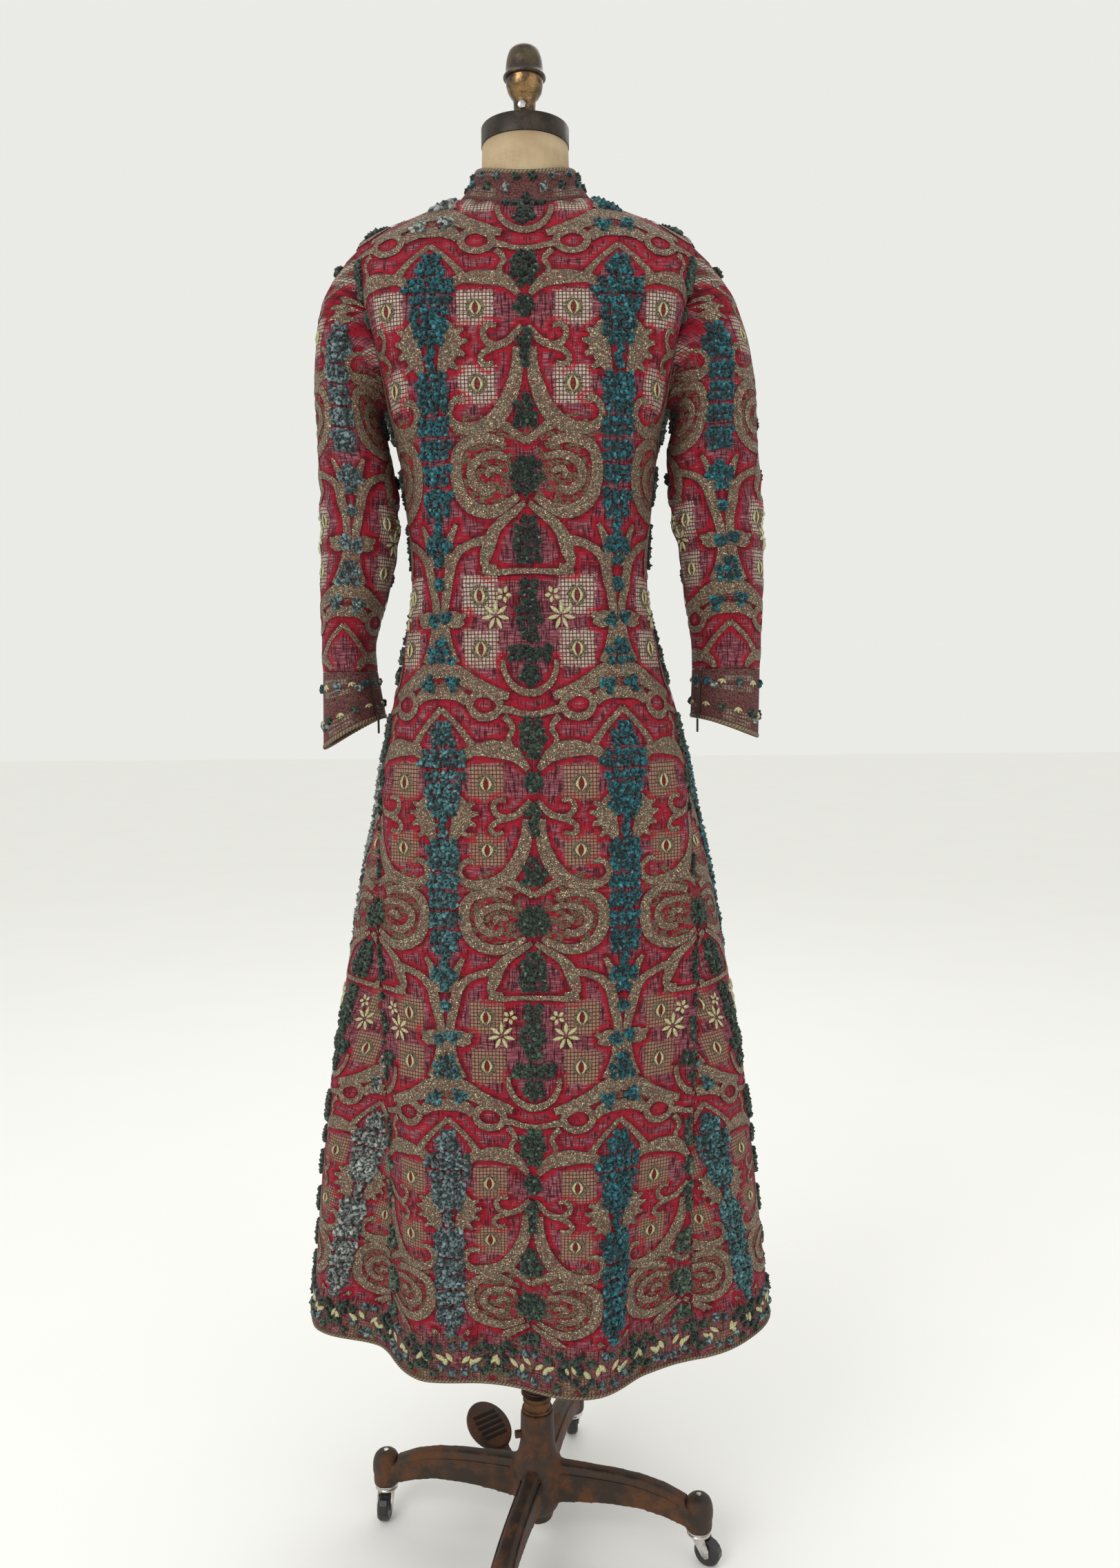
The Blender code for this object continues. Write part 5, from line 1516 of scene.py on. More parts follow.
class Chenilles:
    """The chenille columns: teal and green masses in turn across the cloth."""

    sides = 5
    lobes = 5

    head: tuple = (
        Tuft(((0.028, 5), (0.040, 11), (0.056, 13), (0.078, 15))),
        Tuft(((0.084, 20), (0.098, 28), (0.122, 29))),
        Tuft(((0.126, 24), (0.150, 25))),
        Tuft(((0.152, 20), (0.190, 20), (0.222, 17), (0.240, 11))),
        Tuft(((0.242, 6), (0.294, 6))),
        Tuft(((0.300, 14), (0.318, 18), (0.384, 17))),
        Tuft(((0.392, 18), (0.432, 18))),
        Tuft(((0.440, 18), (0.482, 17))),
    )
    foot: tuple = (
        Rosette(0.648, 9.0, -9.0),
        Rosette(0.648, 9.0, 9.0),
        Rosette(0.632, 7.0),
        Rosette(0.674, 9.0),
        Rosette(0.724, 7.0),
        Rosette(0.798, 8.0, 8.0),
        Rosette(0.804, 8.0, -7.5),
        Tuft(((0.842, 5), (0.858, 10), (0.876, 16), (0.902, 17))),
        Rosette(0.950, 10.0, -15.0),
        Rosette(0.944, 10.0, 14.0),
    )
    teal: tuple = (
        *head,
        Tuft(((0.492, 18), (0.532, 16))),
        Tuft(((0.542, 18), (0.590, 14))),
        Tuft(((0.592, 6), (0.622, 6))),
        *foot,
    )
    green: tuple = (
        Tuft(((0.018, 6), (0.034, 13), (0.062, 15), (0.086, 12), (0.104, 7))),
        Rosette(0.152, 12.0),
        Tuft(((0.206, 6), (0.220, 8), (0.262, 7), (0.292, 7))),
        Tuft(((0.346, 5), (0.362, 9), (0.384, 12), (0.404, 14), (0.418, 10))),
        Rosette(0.514, 19.0),
        Tuft(((0.590, 5), (0.606, 11), (0.624, 14), (0.650, 16), (0.672, 17), (0.686, 12))),
        Tuft((
            (0.714, 6), (0.724, 11), (0.744, 11), (0.760, 8),
            (0.776, 13), (0.796, 17), (0.812, 13), (0.852, 6),
        )),
        Tuft(((0.862, 12), (0.870, 24), (0.894, 25))),
        Rosette(0.926, 13.0),
    )
    arm: tuple = (*teal[4:10], *foot)
    arm_green: tuple = (Rosette(0.157, 7.0), Rosette(0.514, 10.0), Rosette(0.640, 8.0), Rosette(0.880, 10.0))

    def __init__(self, seed: int = 5) -> None:
        """Starts the seeded scatter and shapes one lump."""
        self.scatter = np.random.default_rng(seed)
        sides = self.sides
        around = np.arange(sides)
        ring = around * 2 * math.pi / sides
        turn = ring + math.pi / sides
        low = np.stack((np.cos(ring) * 0.90, np.sin(ring) * 0.90, np.full(sides, -0.25)), axis=1)
        high = np.stack((np.cos(turn) * 0.72, np.sin(turn) * 0.72, np.full(sides, 0.62)), axis=1)
        self.lump = np.concatenate((low, high, ((0.0, 0.0, 0.95),)))
        following = (around + 1) % sides
        self.faces = np.concatenate(
            (
                np.stack((around, following, around + sides), axis=1),
                np.stack((following, following + sides, around + sides), axis=1),
                np.stack((around + sides, following + sides, np.full(sides, 2 * sides)), axis=1),
            )
        )
        # Painted shade and highlight of one lump: dark for its base ring, where shade falls between the
        # lumps, lighter above and brightest at its top.
        self.depth = np.array((0.10,) * 6 + (0.80,) * 6 + (1.15,))

    def tuft_places(self, tuft: Tuft) -> np.ndarray:
        """Puff centres of a mass, as (metres across, position down, rise from 0 to 1)."""
        table = np.array(tuft.outline, float)
        start, end = table[0, 0] * REPEAT_METRES, table[-1, 0] * REPEAT_METRES
        rows = max(1, round((end - start) / (PUFF * 0.88)))
        places = []
        for row in range(rows):
            down = start + (end - start) * (row + 0.5) / rows
            half = np.interp(down / REPEAT_METRES, table[:, 0], table[:, 1]) / 1000
            count = max(1, round(2 * half / PUFF))
            for k in range(count):
                aside = 2 * half * ((k + 0.5) / count - 0.5) + 0.0012 * (-1) ** row
                places.append((aside, down / REPEAT_METRES, 1 - 0.7 * (aside / half) ** 2))
        return np.array(places)

    def rosette_places(self, rosette: Rosette) -> np.ndarray:
        """Puff centres of a rosette."""
        middle = rosette.offset / 1000
        places = [(middle, rosette.down, 1.0)]
        radius = rosette.radius / 1000 - PUFF / 2
        rings = max(1, math.ceil(radius / PUFF - 0.2))
        for ring in range(1, rings + 1):
            reach = radius * ring / rings
            count = max(3, round(2 * math.pi * reach / PUFF))
            start = self.scatter.random() * math.pi
            for k in range(count):
                turn = start + 2 * math.pi * k / count
                down = rosette.down + reach * math.sin(turn) / REPEAT_METRES
                places.append((middle + reach * math.cos(turn), down, 1 - 0.5 * ring / rings))
        return np.array(places)

    def lay(
        self, panel: Panel, dye_of: Callable, shift: float = 0.0, keep: Optional[Callable] = None
    ) -> bpy.types.Mesh:
        """The chenille over a panel.

        Args:
            panel: The panel that carries it.
            dye_of: Gives the dye of a column number and a repeat, or None for bare cloth.
            shift: Distance from the panel's zero to a green column.
            keep: Test of the placed points.

        Returns:
            All the lumps as one mesh.
        """
        low_u, high_u = panel.across.min() + shift, panel.across.max() + shift
        columns = range(math.ceil((low_u - 0.02) / SPACING), math.floor((high_u + 0.02) / SPACING) + 1)
        repeats = range(math.floor(panel.down.min()), math.ceil(panel.down.max()) + 1)
        parts = MeshParts()
        for column in columns:
            kinds = self.teal if column % 2 else self.green
            if panel.closed:
                kinds = self.arm if column % 2 else self.arm_green
            for kind in kinds:
                places = self.tuft_places(kind) if isinstance(kind, Tuft) else self.rosette_places(kind)
                for repeat in repeats:
                    dye = dye_of(column, repeat)
                    if dye is None:
                        continue
                    jitter = self.scatter.normal(0.0, 0.0007, (len(places), 2))
                    across = column * SPACING + places[:, 0] + jitter[:, 0] - shift
                    down = places[:, 1] + repeat + jitter[:, 1] / REPEAT_METRES
                    self.scatter_lumps(parts, panel, across, down, places[:, 2], dye, keep)
        return parts.mesh(f"{panel.name}_chenille")

    def scatter_lumps(
        self,
        parts: MeshParts,
        panel: Panel,
        across: np.ndarray,
        down: np.ndarray,
        rise: np.ndarray,
        dye: Dye,
        keep: Optional[Callable] = None,
        step: float = REPEAT_METRES,
    ) -> None:
        """Adds a puff at each place on the panel, as a cluster of small lumps.

        Args:
            parts: Where the lumps are gathered.
            panel: The panel that carries them.
            across: Distance across the pattern of each puff.
            down: Position down the pattern of each puff.
            rise: How high each puff stands, from 0 to 1.
            dye: Their dye.
            keep: Test of the placed points.
            step: Metres down the panel for one unit of its down values.
        """
        puffs, lobes = len(across), self.lobes
        turn = (
            self.scatter.random((puffs, 1)) * 2 * math.pi
            + np.arange(lobes - 1) * 2 * math.pi / (lobes - 1)
        )
        reach = 0.0027 + 0.0010 * self.scatter.random(turn.shape)
        middle = np.zeros((puffs, 1))
        across = (across[:, None] + np.concatenate((middle, reach * np.cos(turn)), axis=1)).ravel()
        down = (down[:, None] + np.concatenate((middle, reach * np.sin(turn)), axis=1) / step).ravel()
        rise = (rise[:, None] - 0.45 * (np.arange(lobes) > 0)).ravel()
        tone = np.repeat(1.0 + 0.30 * self.scatter.normal(0.0, 1.0, puffs), lobes)
        points, normals, inside = panel.place(across, down, 0.0004)
        beside, _, _ = panel.place(across + 0.002, down, 0.0004)
        stretched = np.linalg.norm(beside - points, axis=-1) / 0.002
        inside = inside & (stretched > 0.45) & (stretched < 1.60)
        if keep is not None:
            inside = inside & keep(points)
        if not inside.any():
            return
        points, normals, beside = points[inside], normals[inside], beside[inside]
        rise, tone = rise[inside], tone[inside]
        count = len(points)
        first = beside - points
        first += np.array((0.0, 0.0, 1e-5))
        first -= normals * (first * normals).sum(axis=1, keepdims=True)
        first /= np.linalg.norm(first, axis=1, keepdims=True) + 1e-12
        second = np.cross(normals, first)
        spin = self.scatter.random(count) * math.pi
        turned = first * np.cos(spin)[:, None] + second * np.sin(spin)[:, None]
        crossed = np.cross(normals, turned)
        radius = 0.0027 + 0.0008 * self.scatter.random(count)
        stretch = 1.0 + 0.40 * self.scatter.random(count)
        height = 0.0028 + 0.0026 * np.clip(rise, 0.0, 1.0) + 0.0010 * self.scatter.random(count)
        lean = self.scatter.normal(0.0, 0.25, (count, 2))
        axes = (
            turned * (radius * stretch)[:, None],
            crossed * (radius / stretch**0.5)[:, None],
            (normals + turned * lean[:, :1] + crossed * lean[:, 1:]) * height[:, None],
        )
        places = points[:, None, :] + sum(
            axis[:, None, :] * self.lump[None, :, k : k + 1] for k, axis in enumerate(axes)
        )
        places = places + self.scatter.normal(0.0, 0.00040, places.shape)
        size = len(self.lump)
        faces = (self.faces[None] + (np.arange(count) * size)[:, None, None]).reshape(-1, 3)
        shade = np.clip(tone * (1.0 + 0.14 * self.scatter.normal(0.0, 1.0, count)), 0.5, 1.7)
        colours = np.repeat(np.clip(np.array(dye.value) * shade[:, None], 0.0, 1.0), size, axis=0)
        # Each lump carries its painted shade and highlight as its depth values.
        parts.add(places.reshape(-1, 3), faces, {"dye": colours, "depth": np.tile(self.depth, count)})


@dataclass(frozen=True)
class Petal:
    """A satin petal on the cloth: its foot, length, width in mm and direction in degrees."""

    across: float
    down: float
    length: float
    width: float
    turn: float


class Stitches:
    """Chartreuse petals, stars and the eyes of the windows."""

    windows = Brocade.windows

    def petals(self) -> list[Petal]:
        """Returns: The petals of half a repeat."""
        made = []
        for k in range(7):
            turn = 360 * k / 7 + 12
            made.append(Petal(36.0 + 3.0 * math.cos(math.radians(turn)),
                              0.793 + 3.0 * math.sin(math.radians(turn)) / (REPEAT_METRES * 1000),
                              12.5, 4.6, turn))
        for k in range(5):
            turn = 72 * k + 30
            made.append(Petal(26.5 + 2.0 * math.cos(math.radians(turn)),
                              0.747 + 2.0 * math.sin(math.radians(turn)) / (REPEAT_METRES * 1000),
                              6.5, 4.6, turn))
        return made

    def leaf(self, across: float, down: float, length: float, width: float, turn: float, curve: float = 0.0):
        """A leaf's grid in pattern metres, with its heights and edge values."""
        along = np.linspace(0.0, 1.0, 6)
        wide = np.sin(np.pi * np.clip(along * 0.94 + 0.04, 0, 1)) ** 0.75 * width / 2000
        places = np.linspace(-1.0, 1.0, 5)
        x = along[:, None] * length / 1000 + 0 * places[None, :]
        y = wide[:, None] * places[None, :] + curve / 1000 * np.sin(np.pi * along)[:, None]
        angle = math.radians(turn)
        s = across / 1000 + x * math.cos(angle) - y * math.sin(angle)
        w = down + (x * math.sin(angle) + y * math.cos(angle)) / REPEAT_METRES
        height = 0.0007 + 0.0016 * (1 - places[None, :] ** 2) * np.sin(np.pi * (0.1 + 0.8 * along))[:, None]
        edge = np.broadcast_to(np.abs(places)[None, :], s.shape)
        return s, w, height, edge

    def lay(self, panel: Panel, shift: float = 0.0, keep: Optional[Callable] = None) -> bpy.types.Mesh:
        """The stitches over a panel."""
        low_u, high_u = panel.across.min() + shift, panel.across.max() + shift
        repeats = range(math.floor(panel.down.min()) - 1, math.ceil(panel.down.max()) + 1)
        strips = range(math.floor(low_u / SPACING), math.ceil(high_u / SPACING))
        leaves = [self.leaf(p.across, p.down, p.length, p.width, p.turn) for p in self.petals()]
        for s, w in self.windows:
            top = w - 0.0078 / REPEAT_METRES
            leaves.append(self.leaf(s * 1000 - 0.8, top, 15.6, 3.4, 90.0, 4.0))
            leaves.append(self.leaf(s * 1000 + 0.8, top, 15.6, 3.4, 90.0, -4.0))
        parts = MeshParts()
        for s, w, height, edge in leaves:
            for strip in strips:
                u = strip * SPACING + (s if strip % 2 == 0 else SPACING - s) - shift
                for repeat in repeats:
                    points, normals, inside = panel.place(u, w + repeat, height)
                    if keep is not None:
                        inside = inside & keep(points)
                    if inside.all():
                        parts.add_grid(points, normals, inside, {"edge": edge})
        return parts.mesh(f"{panel.name}_stitches")


def braid_mesh(
    name: str, path: np.ndarray, outward: np.ndarray, width: float, height: float
) -> bpy.types.Mesh:
    """A flat corded braid along a path.

    Args:
        name: Name of the mesh.
        path: Points along its middle.
        outward: Unit directions away from the cloth.
        width: Width of the braid.
        height: Its full thickness.

    Returns:
        A closed tube with capped ends and its twist as an attribute.
    """
    steps = 10
    path, outward = even_steps(path, outward, 0.0021)
    tangent = np.gradient(path, axis=0)
    tangent /= np.linalg.norm(tangent, axis=1, keepdims=True) + 1e-12
    out = outward - tangent * (outward * tangent).sum(axis=1, keepdims=True)
    out /= np.linalg.norm(out, axis=1, keepdims=True) + 1e-12
    side = np.cross(tangent, out)
    length = np.concatenate(((0.0,), np.cumsum(np.linalg.norm(np.diff(path, axis=0), axis=1))))
    turn = np.arange(steps) * 2 * math.pi / steps
    lumpy = 1 + 0.10 * np.sin(length[:, None] * 2 * math.pi / 0.0042 + 2 * turn[None, :])
    a = np.cos(turn)[None, :] * width / 2 * lumpy
    b = np.sin(turn)[None, :] * height / 2 * lumpy
    points = path[:, None, :] + side[:, None, :] * a[..., None] + out[:, None, :] * b[..., None]
    twist = length[:, None] * 2 * math.pi / 0.0042 + 2 * np.abs(turn - math.pi)[None, :]
    count = len(path)
    faces = grid_faces(count, steps, True)
    mesh = mesh_from(name, points.reshape(-1, 3), faces)
    edit = bmesh.new()
    edit.from_mesh(mesh)
    bmesh.ops.holes_fill(edit, edges=[e for e in edit.edges if e.is_boundary], sides=0)
    bmesh.ops.recalc_face_normals(edit, faces=edit.faces)
    edit.to_mesh(mesh)
    edit.free()
    mesh.shade_smooth()
    store(mesh, "twist", twist.reshape(-1))
    return mesh


# Half of one motif of the hem border: puffs as (aside, height, dye),
# and leaves as (aside, height, length, lean)
BORDER_PUFFS = (
    (6.5, 342.0, Dye.GREY_BLUE),
    (6.5, 313.0, Dye.GREY_BLUE),
    (22.0, 338.0, Dye.FOREST),
    (19.0, 319.0, Dye.GREY_BLUE),
    (30.0, 313.0, Dye.GREY_GREEN),
    (33.0, 344.0, Dye.FOREST),
    (40.0, 338.0, Dye.FOREST),
    (41.0, 320.0, Dye.FOREST),
    (36.0, 331.0, Dye.BOTTLE),
)
BORDER_LEAVES = (
    (13.0, 334.0, 12.0, 35.0),
    (14.0, 329.0, 11.0, -20.0),
    (27.0, 330.0, 13.0, 50.0),
    (45.0, 334.0, 13.0, 15.0),
)
# Patches of mottled metal thread: distance across, position down, reaches across and down
LACE_PATCHES = (
    (0.040, 0.510, 0.040, 0.034),
    (0.045, 0.430, 0.038, 0.010),
    (0.000, 0.432, 0.016, 0.012),
    (0.088, 0.935, 0.030, 0.016),
    (0.050, 0.400, 0.020, 0.008),
)


class Garment:
    """The robe: its panels, ornament and edging, with its cuffs left open for their zips."""

    def __init__(self) -> None:
        """Cuts every panel."""
        cut = RobeCut()
        self.back = cut.back()
        self.fronts = {side: cut.front(side) for side in SIDE_SIGN}
        self.sleeves = {side: sleeve_panel(side) for side in SIDE_SIGN}
        self.cuffs = {side: cuff_panel(side) for side in SIDE_SIGN}
        self.collar = collar_panel()
        self.strapwork = Strapwork()
        self.chenille = Chenilles()
        self.stitches = Stitches()
        self.trims: dict[str, list[bpy.types.Object]] = {}

    @staticmethod
    def over_border(points: np.ndarray) -> np.ndarray:
        """True above the hem's border."""
        return points[..., 2] > BORDER_TOP

    def ornament(self, panel: Panel, dye_of: Callable, shift: float, owner: str) -> None:
        """Lays the strapwork, chenille and stitches of one panel."""
        made = self.trims.setdefault(owner, [])
        keep = self.over_border
        made.append(add_piece(f"{panel.name}_strapwork", self.strapwork.lay(panel, shift, keep), Finish.LAME))
        chenille = self.chenille.lay(panel, dye_of, shift, keep)
        made.append(add_piece(f"{panel.name}_chenille", chenille, Finish.CHENILLE))
        made.append(add_piece(f"{panel.name}_stitches", self.stitches.lay(panel, shift, keep), Finish.SATIN))

    def build(self) -> None:
        """Makes the cloth and everything on it."""
        self.ornament(self.back, self.back_dye, 0.0, "back")
        for side, panel in self.fronts.items():
            self.ornament(panel, self.front_dye(side), 0.0, f"front_{side}")
        for side, panel in self.sleeves.items():
            self.ornament(panel, self.sleeve_dye(side), SPACING, f"sleeve_{side}")
        self.hem_border()
        self.cuff_borders()
        self.collar_border()
        self.edging()
        self.cloths()

    @staticmethod
    def back_dye(column: int, repeat: int) -> Optional[Dye]:
        """Dye of a column of the back."""
        if column > 0 and column % 2:
            return Dye.TEAL if column == 1 else Dye.TEAL_PALE
        if column % 2:
            if column < -1:
                return Dye.PALE
            return (Dye.PALE, Dye.TEAL, Dye.TEAL_PALE, Dye.GREY_BLUE)[min(max(repeat + 1, 0), 3)]
        if column == 0:
            return Dye.BOTTLE if repeat < 1 else Dye.FOREST
        return Dye.FOREST if repeat < 2 else Dye.GREY_GREEN

    @staticmethod
    def front_dye(side: str) -> Callable:
        """Dyes of a front's columns."""
        teal = Dye.TEAL if side == "right" else Dye.GREY_BLUE

        def dye(column: int, repeat: int) -> Optional[Dye]:
            if column % 2:
                return teal if repeat < 1 else (Dye.TEAL_PALE if side == "right" else Dye.PALE)
            return Dye.BOTTLE if repeat < 1 else Dye.FOREST

        return dye

    @staticmethod
    def sleeve_dye(side: str) -> Callable:
        """Dyes of a sleeve's columns."""

        def dye(column: int, repeat: int) -> Optional[Dye]:
            if column % 2:
                return Dye.TEAL if side == "right" else Dye.GREY_BLUE
            return Dye.BOTTLE

        return dye

    def near(self, panel: Panel) -> np.ndarray:
        """Distance from the strapwork at each point of a panel."""
        if panel.name == "collar" or panel.name.startswith("cuff"):
            return np.full(panel.across.shape, 0.010)
        shift = SPACING if panel.name.startswith("sleeve") else 0.0
        distance = self.strapwork.distances(panel.across + shift, panel.down)
        return np.where(self.over_border(panel.points), distance, 0.010)

    def lace(self, panel: Panel) -> np.ndarray:
        """Share of metal thread in the ground of a panel."""
        if panel.name == "collar":
            return np.full(panel.across.shape, 0.33)
        if panel.name.startswith("cuff"):
            return np.full(panel.across.shape, 0.33)
        shift = SPACING if panel.name.startswith("sleeve") else 0.0
        s = np.abs((panel.across + shift + SPACING) % (2 * SPACING) - SPACING)
        w = (panel.down % 1.0) * REPEAT_METRES
        total = np.zeros(panel.across.shape)
        for centre_s, centre_w, reach_s, reach_w in LACE_PATCHES:
            far = np.hypot((s - centre_s) / reach_s, (w - centre_w * REPEAT_METRES) / reach_w)
            total = np.maximum(total, 0.36 * ease((1.15 - far) / 0.3))
        return np.where(self.over_border(panel.points), total, 0.31)

    def cloths(self) -> None:
        """The cloth of each panel; the flat size and area of each panel's sheet are listed but not used."""
        sheets = (
            (self.back, ("back",), (0.52, 1.30), 0.47),
            (self.fronts["left"], ("front_left",), (0.47, 1.30), 0.45),
            (self.fronts["right"], ("front_right",), (0.47, 1.30), 0.45),
            (self.sleeves["left"], ("sleeve_left",), (0.34, 0.46), 0.125),
            (self.sleeves["right"], ("sleeve_right",), (0.36, 0.46), 0.125),
            (self.cuffs["left"], ("cuff_left",), (0.27, 0.09), 0.019),
            (self.cuffs["right"], ("cuff_right",), (0.27, 0.09), 0.019),
            (self.collar, ("collar",), (0.42, 0.045), 0.0150),
        )
        for panel, replaced, flat, area in sheets:
            made = cloth_piece(panel, self.near(panel), self.lace(panel), replaced)

    def puffs(self, name: str, panel: Panel, items: Sequence[tuple], step: float) -> bpy.types.Object:
        """Small single puffs at given places, as (across, down, dye)."""
        parts = MeshParts()
        for across, down, dye in items:
            place = np.array([across]), np.array([down]), np.array([0.7])
            self.chenille.scatter_lumps(parts, panel, *place, dye, None, step)
        return add_piece(name, parts.mesh(name), Finish.CHENILLE)

    @staticmethod
    def panel_length(panel: Panel) -> float:
        """Length of a panel for one unit of its down values."""
        middle = panel.points.shape[1] // 2
        steps = np.linalg.norm(np.diff(panel.points[:, middle], axis=0), axis=1).sum()
        return steps / (panel.down[-1, middle] - panel.down[0, middle])

    def leaves(self, name: str, panel: Panel, items: Sequence[tuple], step: float) -> bpy.types.Object:
        """Single satin leaves, as (across, down, length, width, turn)."""
        parts = MeshParts()
        for across, down, length, width, turn in items:
            s, w, height, edge = self.stitches.leaf(0.0, 0.0, length, width, turn)
            points, normals, inside = panel.place(across + s, down + w * REPEAT_METRES / step, height)
            if inside.all():
                parts.add_grid(points, normals, inside, {"edge": edge})
        return add_piece(name, parts.mesh(name), Finish.SATIN)

    def hem_border(self) -> None:
        """Pairs of puffs, sprays of leaves and green clusters over the hem braid."""
        pitch = 0.092
        for panel in (self.back, *self.fronts.values()):
            puffs, leaves = [], []
            low, high = panel.across[-1, 0], panel.across[-1, -1]
            for k in range(math.floor(low / pitch) - 1, math.ceil(high / pitch) + 2):
                for side in (-1, 1):
                    for aside, height, dye in BORDER_PUFFS:
                        shake = self.chenille.scatter.normal(0.0, 0.0014, 2)
                        down = float(repeat_of_height(np.array(height / 1000 + shake[1])))
                        puffs.append((k * pitch + side * aside / 1000 + shake[0], down, dye))
                    for aside, height, length, turn in BORDER_LEAVES:
                        shake = self.chenille.scatter.normal(0.0, 0.0016, 2)
                        down = float(repeat_of_height(np.array(height / 1000 + shake[1])))
                        turned = 90.0 + side * (turn + 6.0 * shake[0] * 1000)
                        leaves.append(
                            (k * pitch + side * aside / 1000 + shake[0], down, length * 1.15, 6.6, turned)
                        )
            owner = self.trims.setdefault(panel.name, [])
            owner.append(self.puffs(f"{panel.name}_hem_puffs", panel, puffs, REPEAT_METRES))
            owner.append(self.leaves(f"{panel.name}_hem_leaves", panel, leaves, REPEAT_METRES))

    def cuff_borders(self) -> None:
        """Puffs and leaves round the cuffs."""
        dyes = (Dye.TEAL, Dye.FOREST, Dye.GREY_BLUE, Dye.GREY_GREEN)
        for panel in self.cuffs.values():
            puffs, leaves = [], []
            step = self.panel_length(panel)
            length = panel.across[:, -1].mean()
            count = 13
            for k in range(count):
                across = (k + 0.5) * length / count
                down = 0.22 + 0.46 * (k % 2)
                puffs.append((across, down, dyes[(k * 3) % 4]))
                if k % 3 == 0:
                    puffs.append((across + 0.010, down + 0.08, Dye.PALE))
                for turn in (45.0, 90.0, 135.0):
                    leaves.append((across, 0.86 - down, 8.0, 3.6, turn + 15.0 * math.sin(k * 2.0)))
            owner = self.trims.setdefault(panel.name, [])
            owner.append(self.puffs(f"{panel.name}_puffs", panel, puffs, step))
            owner.append(self.leaves(f"{panel.name}_leaves", panel, leaves, step))

    def collar_border(self) -> None:
        """Puffs round the stand collar."""
        panel = self.collar
        upper = ((0.010, Dye.BOTTLE), (0.034, Dye.PALE), (0.062, Dye.GREY_BLUE), (0.092, Dye.FOREST),
                 (0.122, Dye.PALE), (0.152, Dye.FOREST), (0.180, Dye.GREY_BLUE))
        lower = ((0.023, Dye.PALE), (0.048, Dye.FOREST), (0.078, Dye.TEAL_PALE), (0.106, Dye.FOREST),
                 (0.136, Dye.GREY_BLUE), (0.166, Dye.FOREST))
        puffs = [(0.0, 0.90, Dye.BOTTLE)]
        for places, down in ((upper, 0.36), (lower, 0.66)):
            for across, dye in places:
                puffs += [(across, down, dye), (-across, down, dye)]
        owner = self.trims.setdefault(panel.name, [])
        owner.append(self.puffs("collar_puffs", panel, puffs, self.panel_length(panel)))

    def braid(self, name: str, node: str, owner: str, path: np.ndarray, out: np.ndarray, size: tuple) -> None:
        """One braid along a path, in place of its CAD node."""
        out = out / np.linalg.norm(out, axis=1, keepdims=True)
        made = add_piece(name, braid_mesh(name, path, out, *size), Finish.BRAID, MAST, [node])
        self.trims.setdefault(owner, []).append(made)

    def edging(self) -> None:
        """Braid along the fronts, the hem, the collar's top and the cuffs."""
        for side, panel in self.fronts.items():
            aside = panel.points[:, 2] - panel.points[:, 0]
            aside /= np.linalg.norm(aside, axis=1, keepdims=True)
            path = panel.points[:, 0] - panel.normals[:, 0] * 0.0002 + aside * BRAID_WIDTH / 2
            size = (BRAID_WIDTH, 0.0032)
            self.braid(
                f"front_edge_{side}", f"front_braid_{side}", panel.name, path, panel.normals[:, 0], size
            )
        left, right = self.fronts["left"], self.fronts["right"]
        path = np.concatenate((left.points[-1], self.back.points[-1], right.points[-1, ::-1]))
        out = np.concatenate((left.normals[-1], self.back.normals[-1], right.normals[-1, ::-1]))
        path = path + np.array((0.0, 0.0, BRAID_WIDTH / 2))
        self.braid("hem_edge", "hem_braid", "back", path, out, (0.0032, BRAID_WIDTH))
        angle = np.linspace(-178.7, 178.7, 360)
        path = collar_points(2.72, angle, -CLOTH / 2)
        out = collar_points(2.72, angle, 0.01) - path
        self.braid("collar_edge", "collar_braid", "collar", path, out, (0.0052, 0.0034))
        gap = math.degrees(ZIP_GAP / 2 / CUFF_RADIUS)
        phase = ZIP_ANGLE + gap + (360 - 2 * gap) * np.linspace(0.0, 1.0, 220)
        for side in SIDE_SIGN:
            path = cuff_points(side, 0.968, phase, -CLOTH / 2)
            out = cuff_points(side, 0.968, phase, 0.01) - path
            self.braid(f"cuff_edge_{side}", f"cuff_braid_{side}", f"cuff_{side}", path, out, (0.0054, 0.0034))


def even_steps(path: np.ndarray, outward: np.ndarray, step: float) -> tuple[np.ndarray, np.ndarray]:
    """A path at even steps, with its outward directions."""
    moved = np.linalg.norm(np.diff(path, axis=0), axis=1)
    keep = np.concatenate(((True,), moved > 1e-6))
    path, outward = path[keep], outward[keep]
    length = np.concatenate(((0.0,), np.cumsum(np.linalg.norm(np.diff(path, axis=0), axis=1))))
    even = np.linspace(0.0, length[-1], max(4, int(length[-1] / step) + 1))
    carried = [[np.interp(even, length, values[:, k]) for k in range(3)] for values in (path, outward)]
    return np.stack(carried[0], axis=-1), np.stack(carried[1], axis=-1)


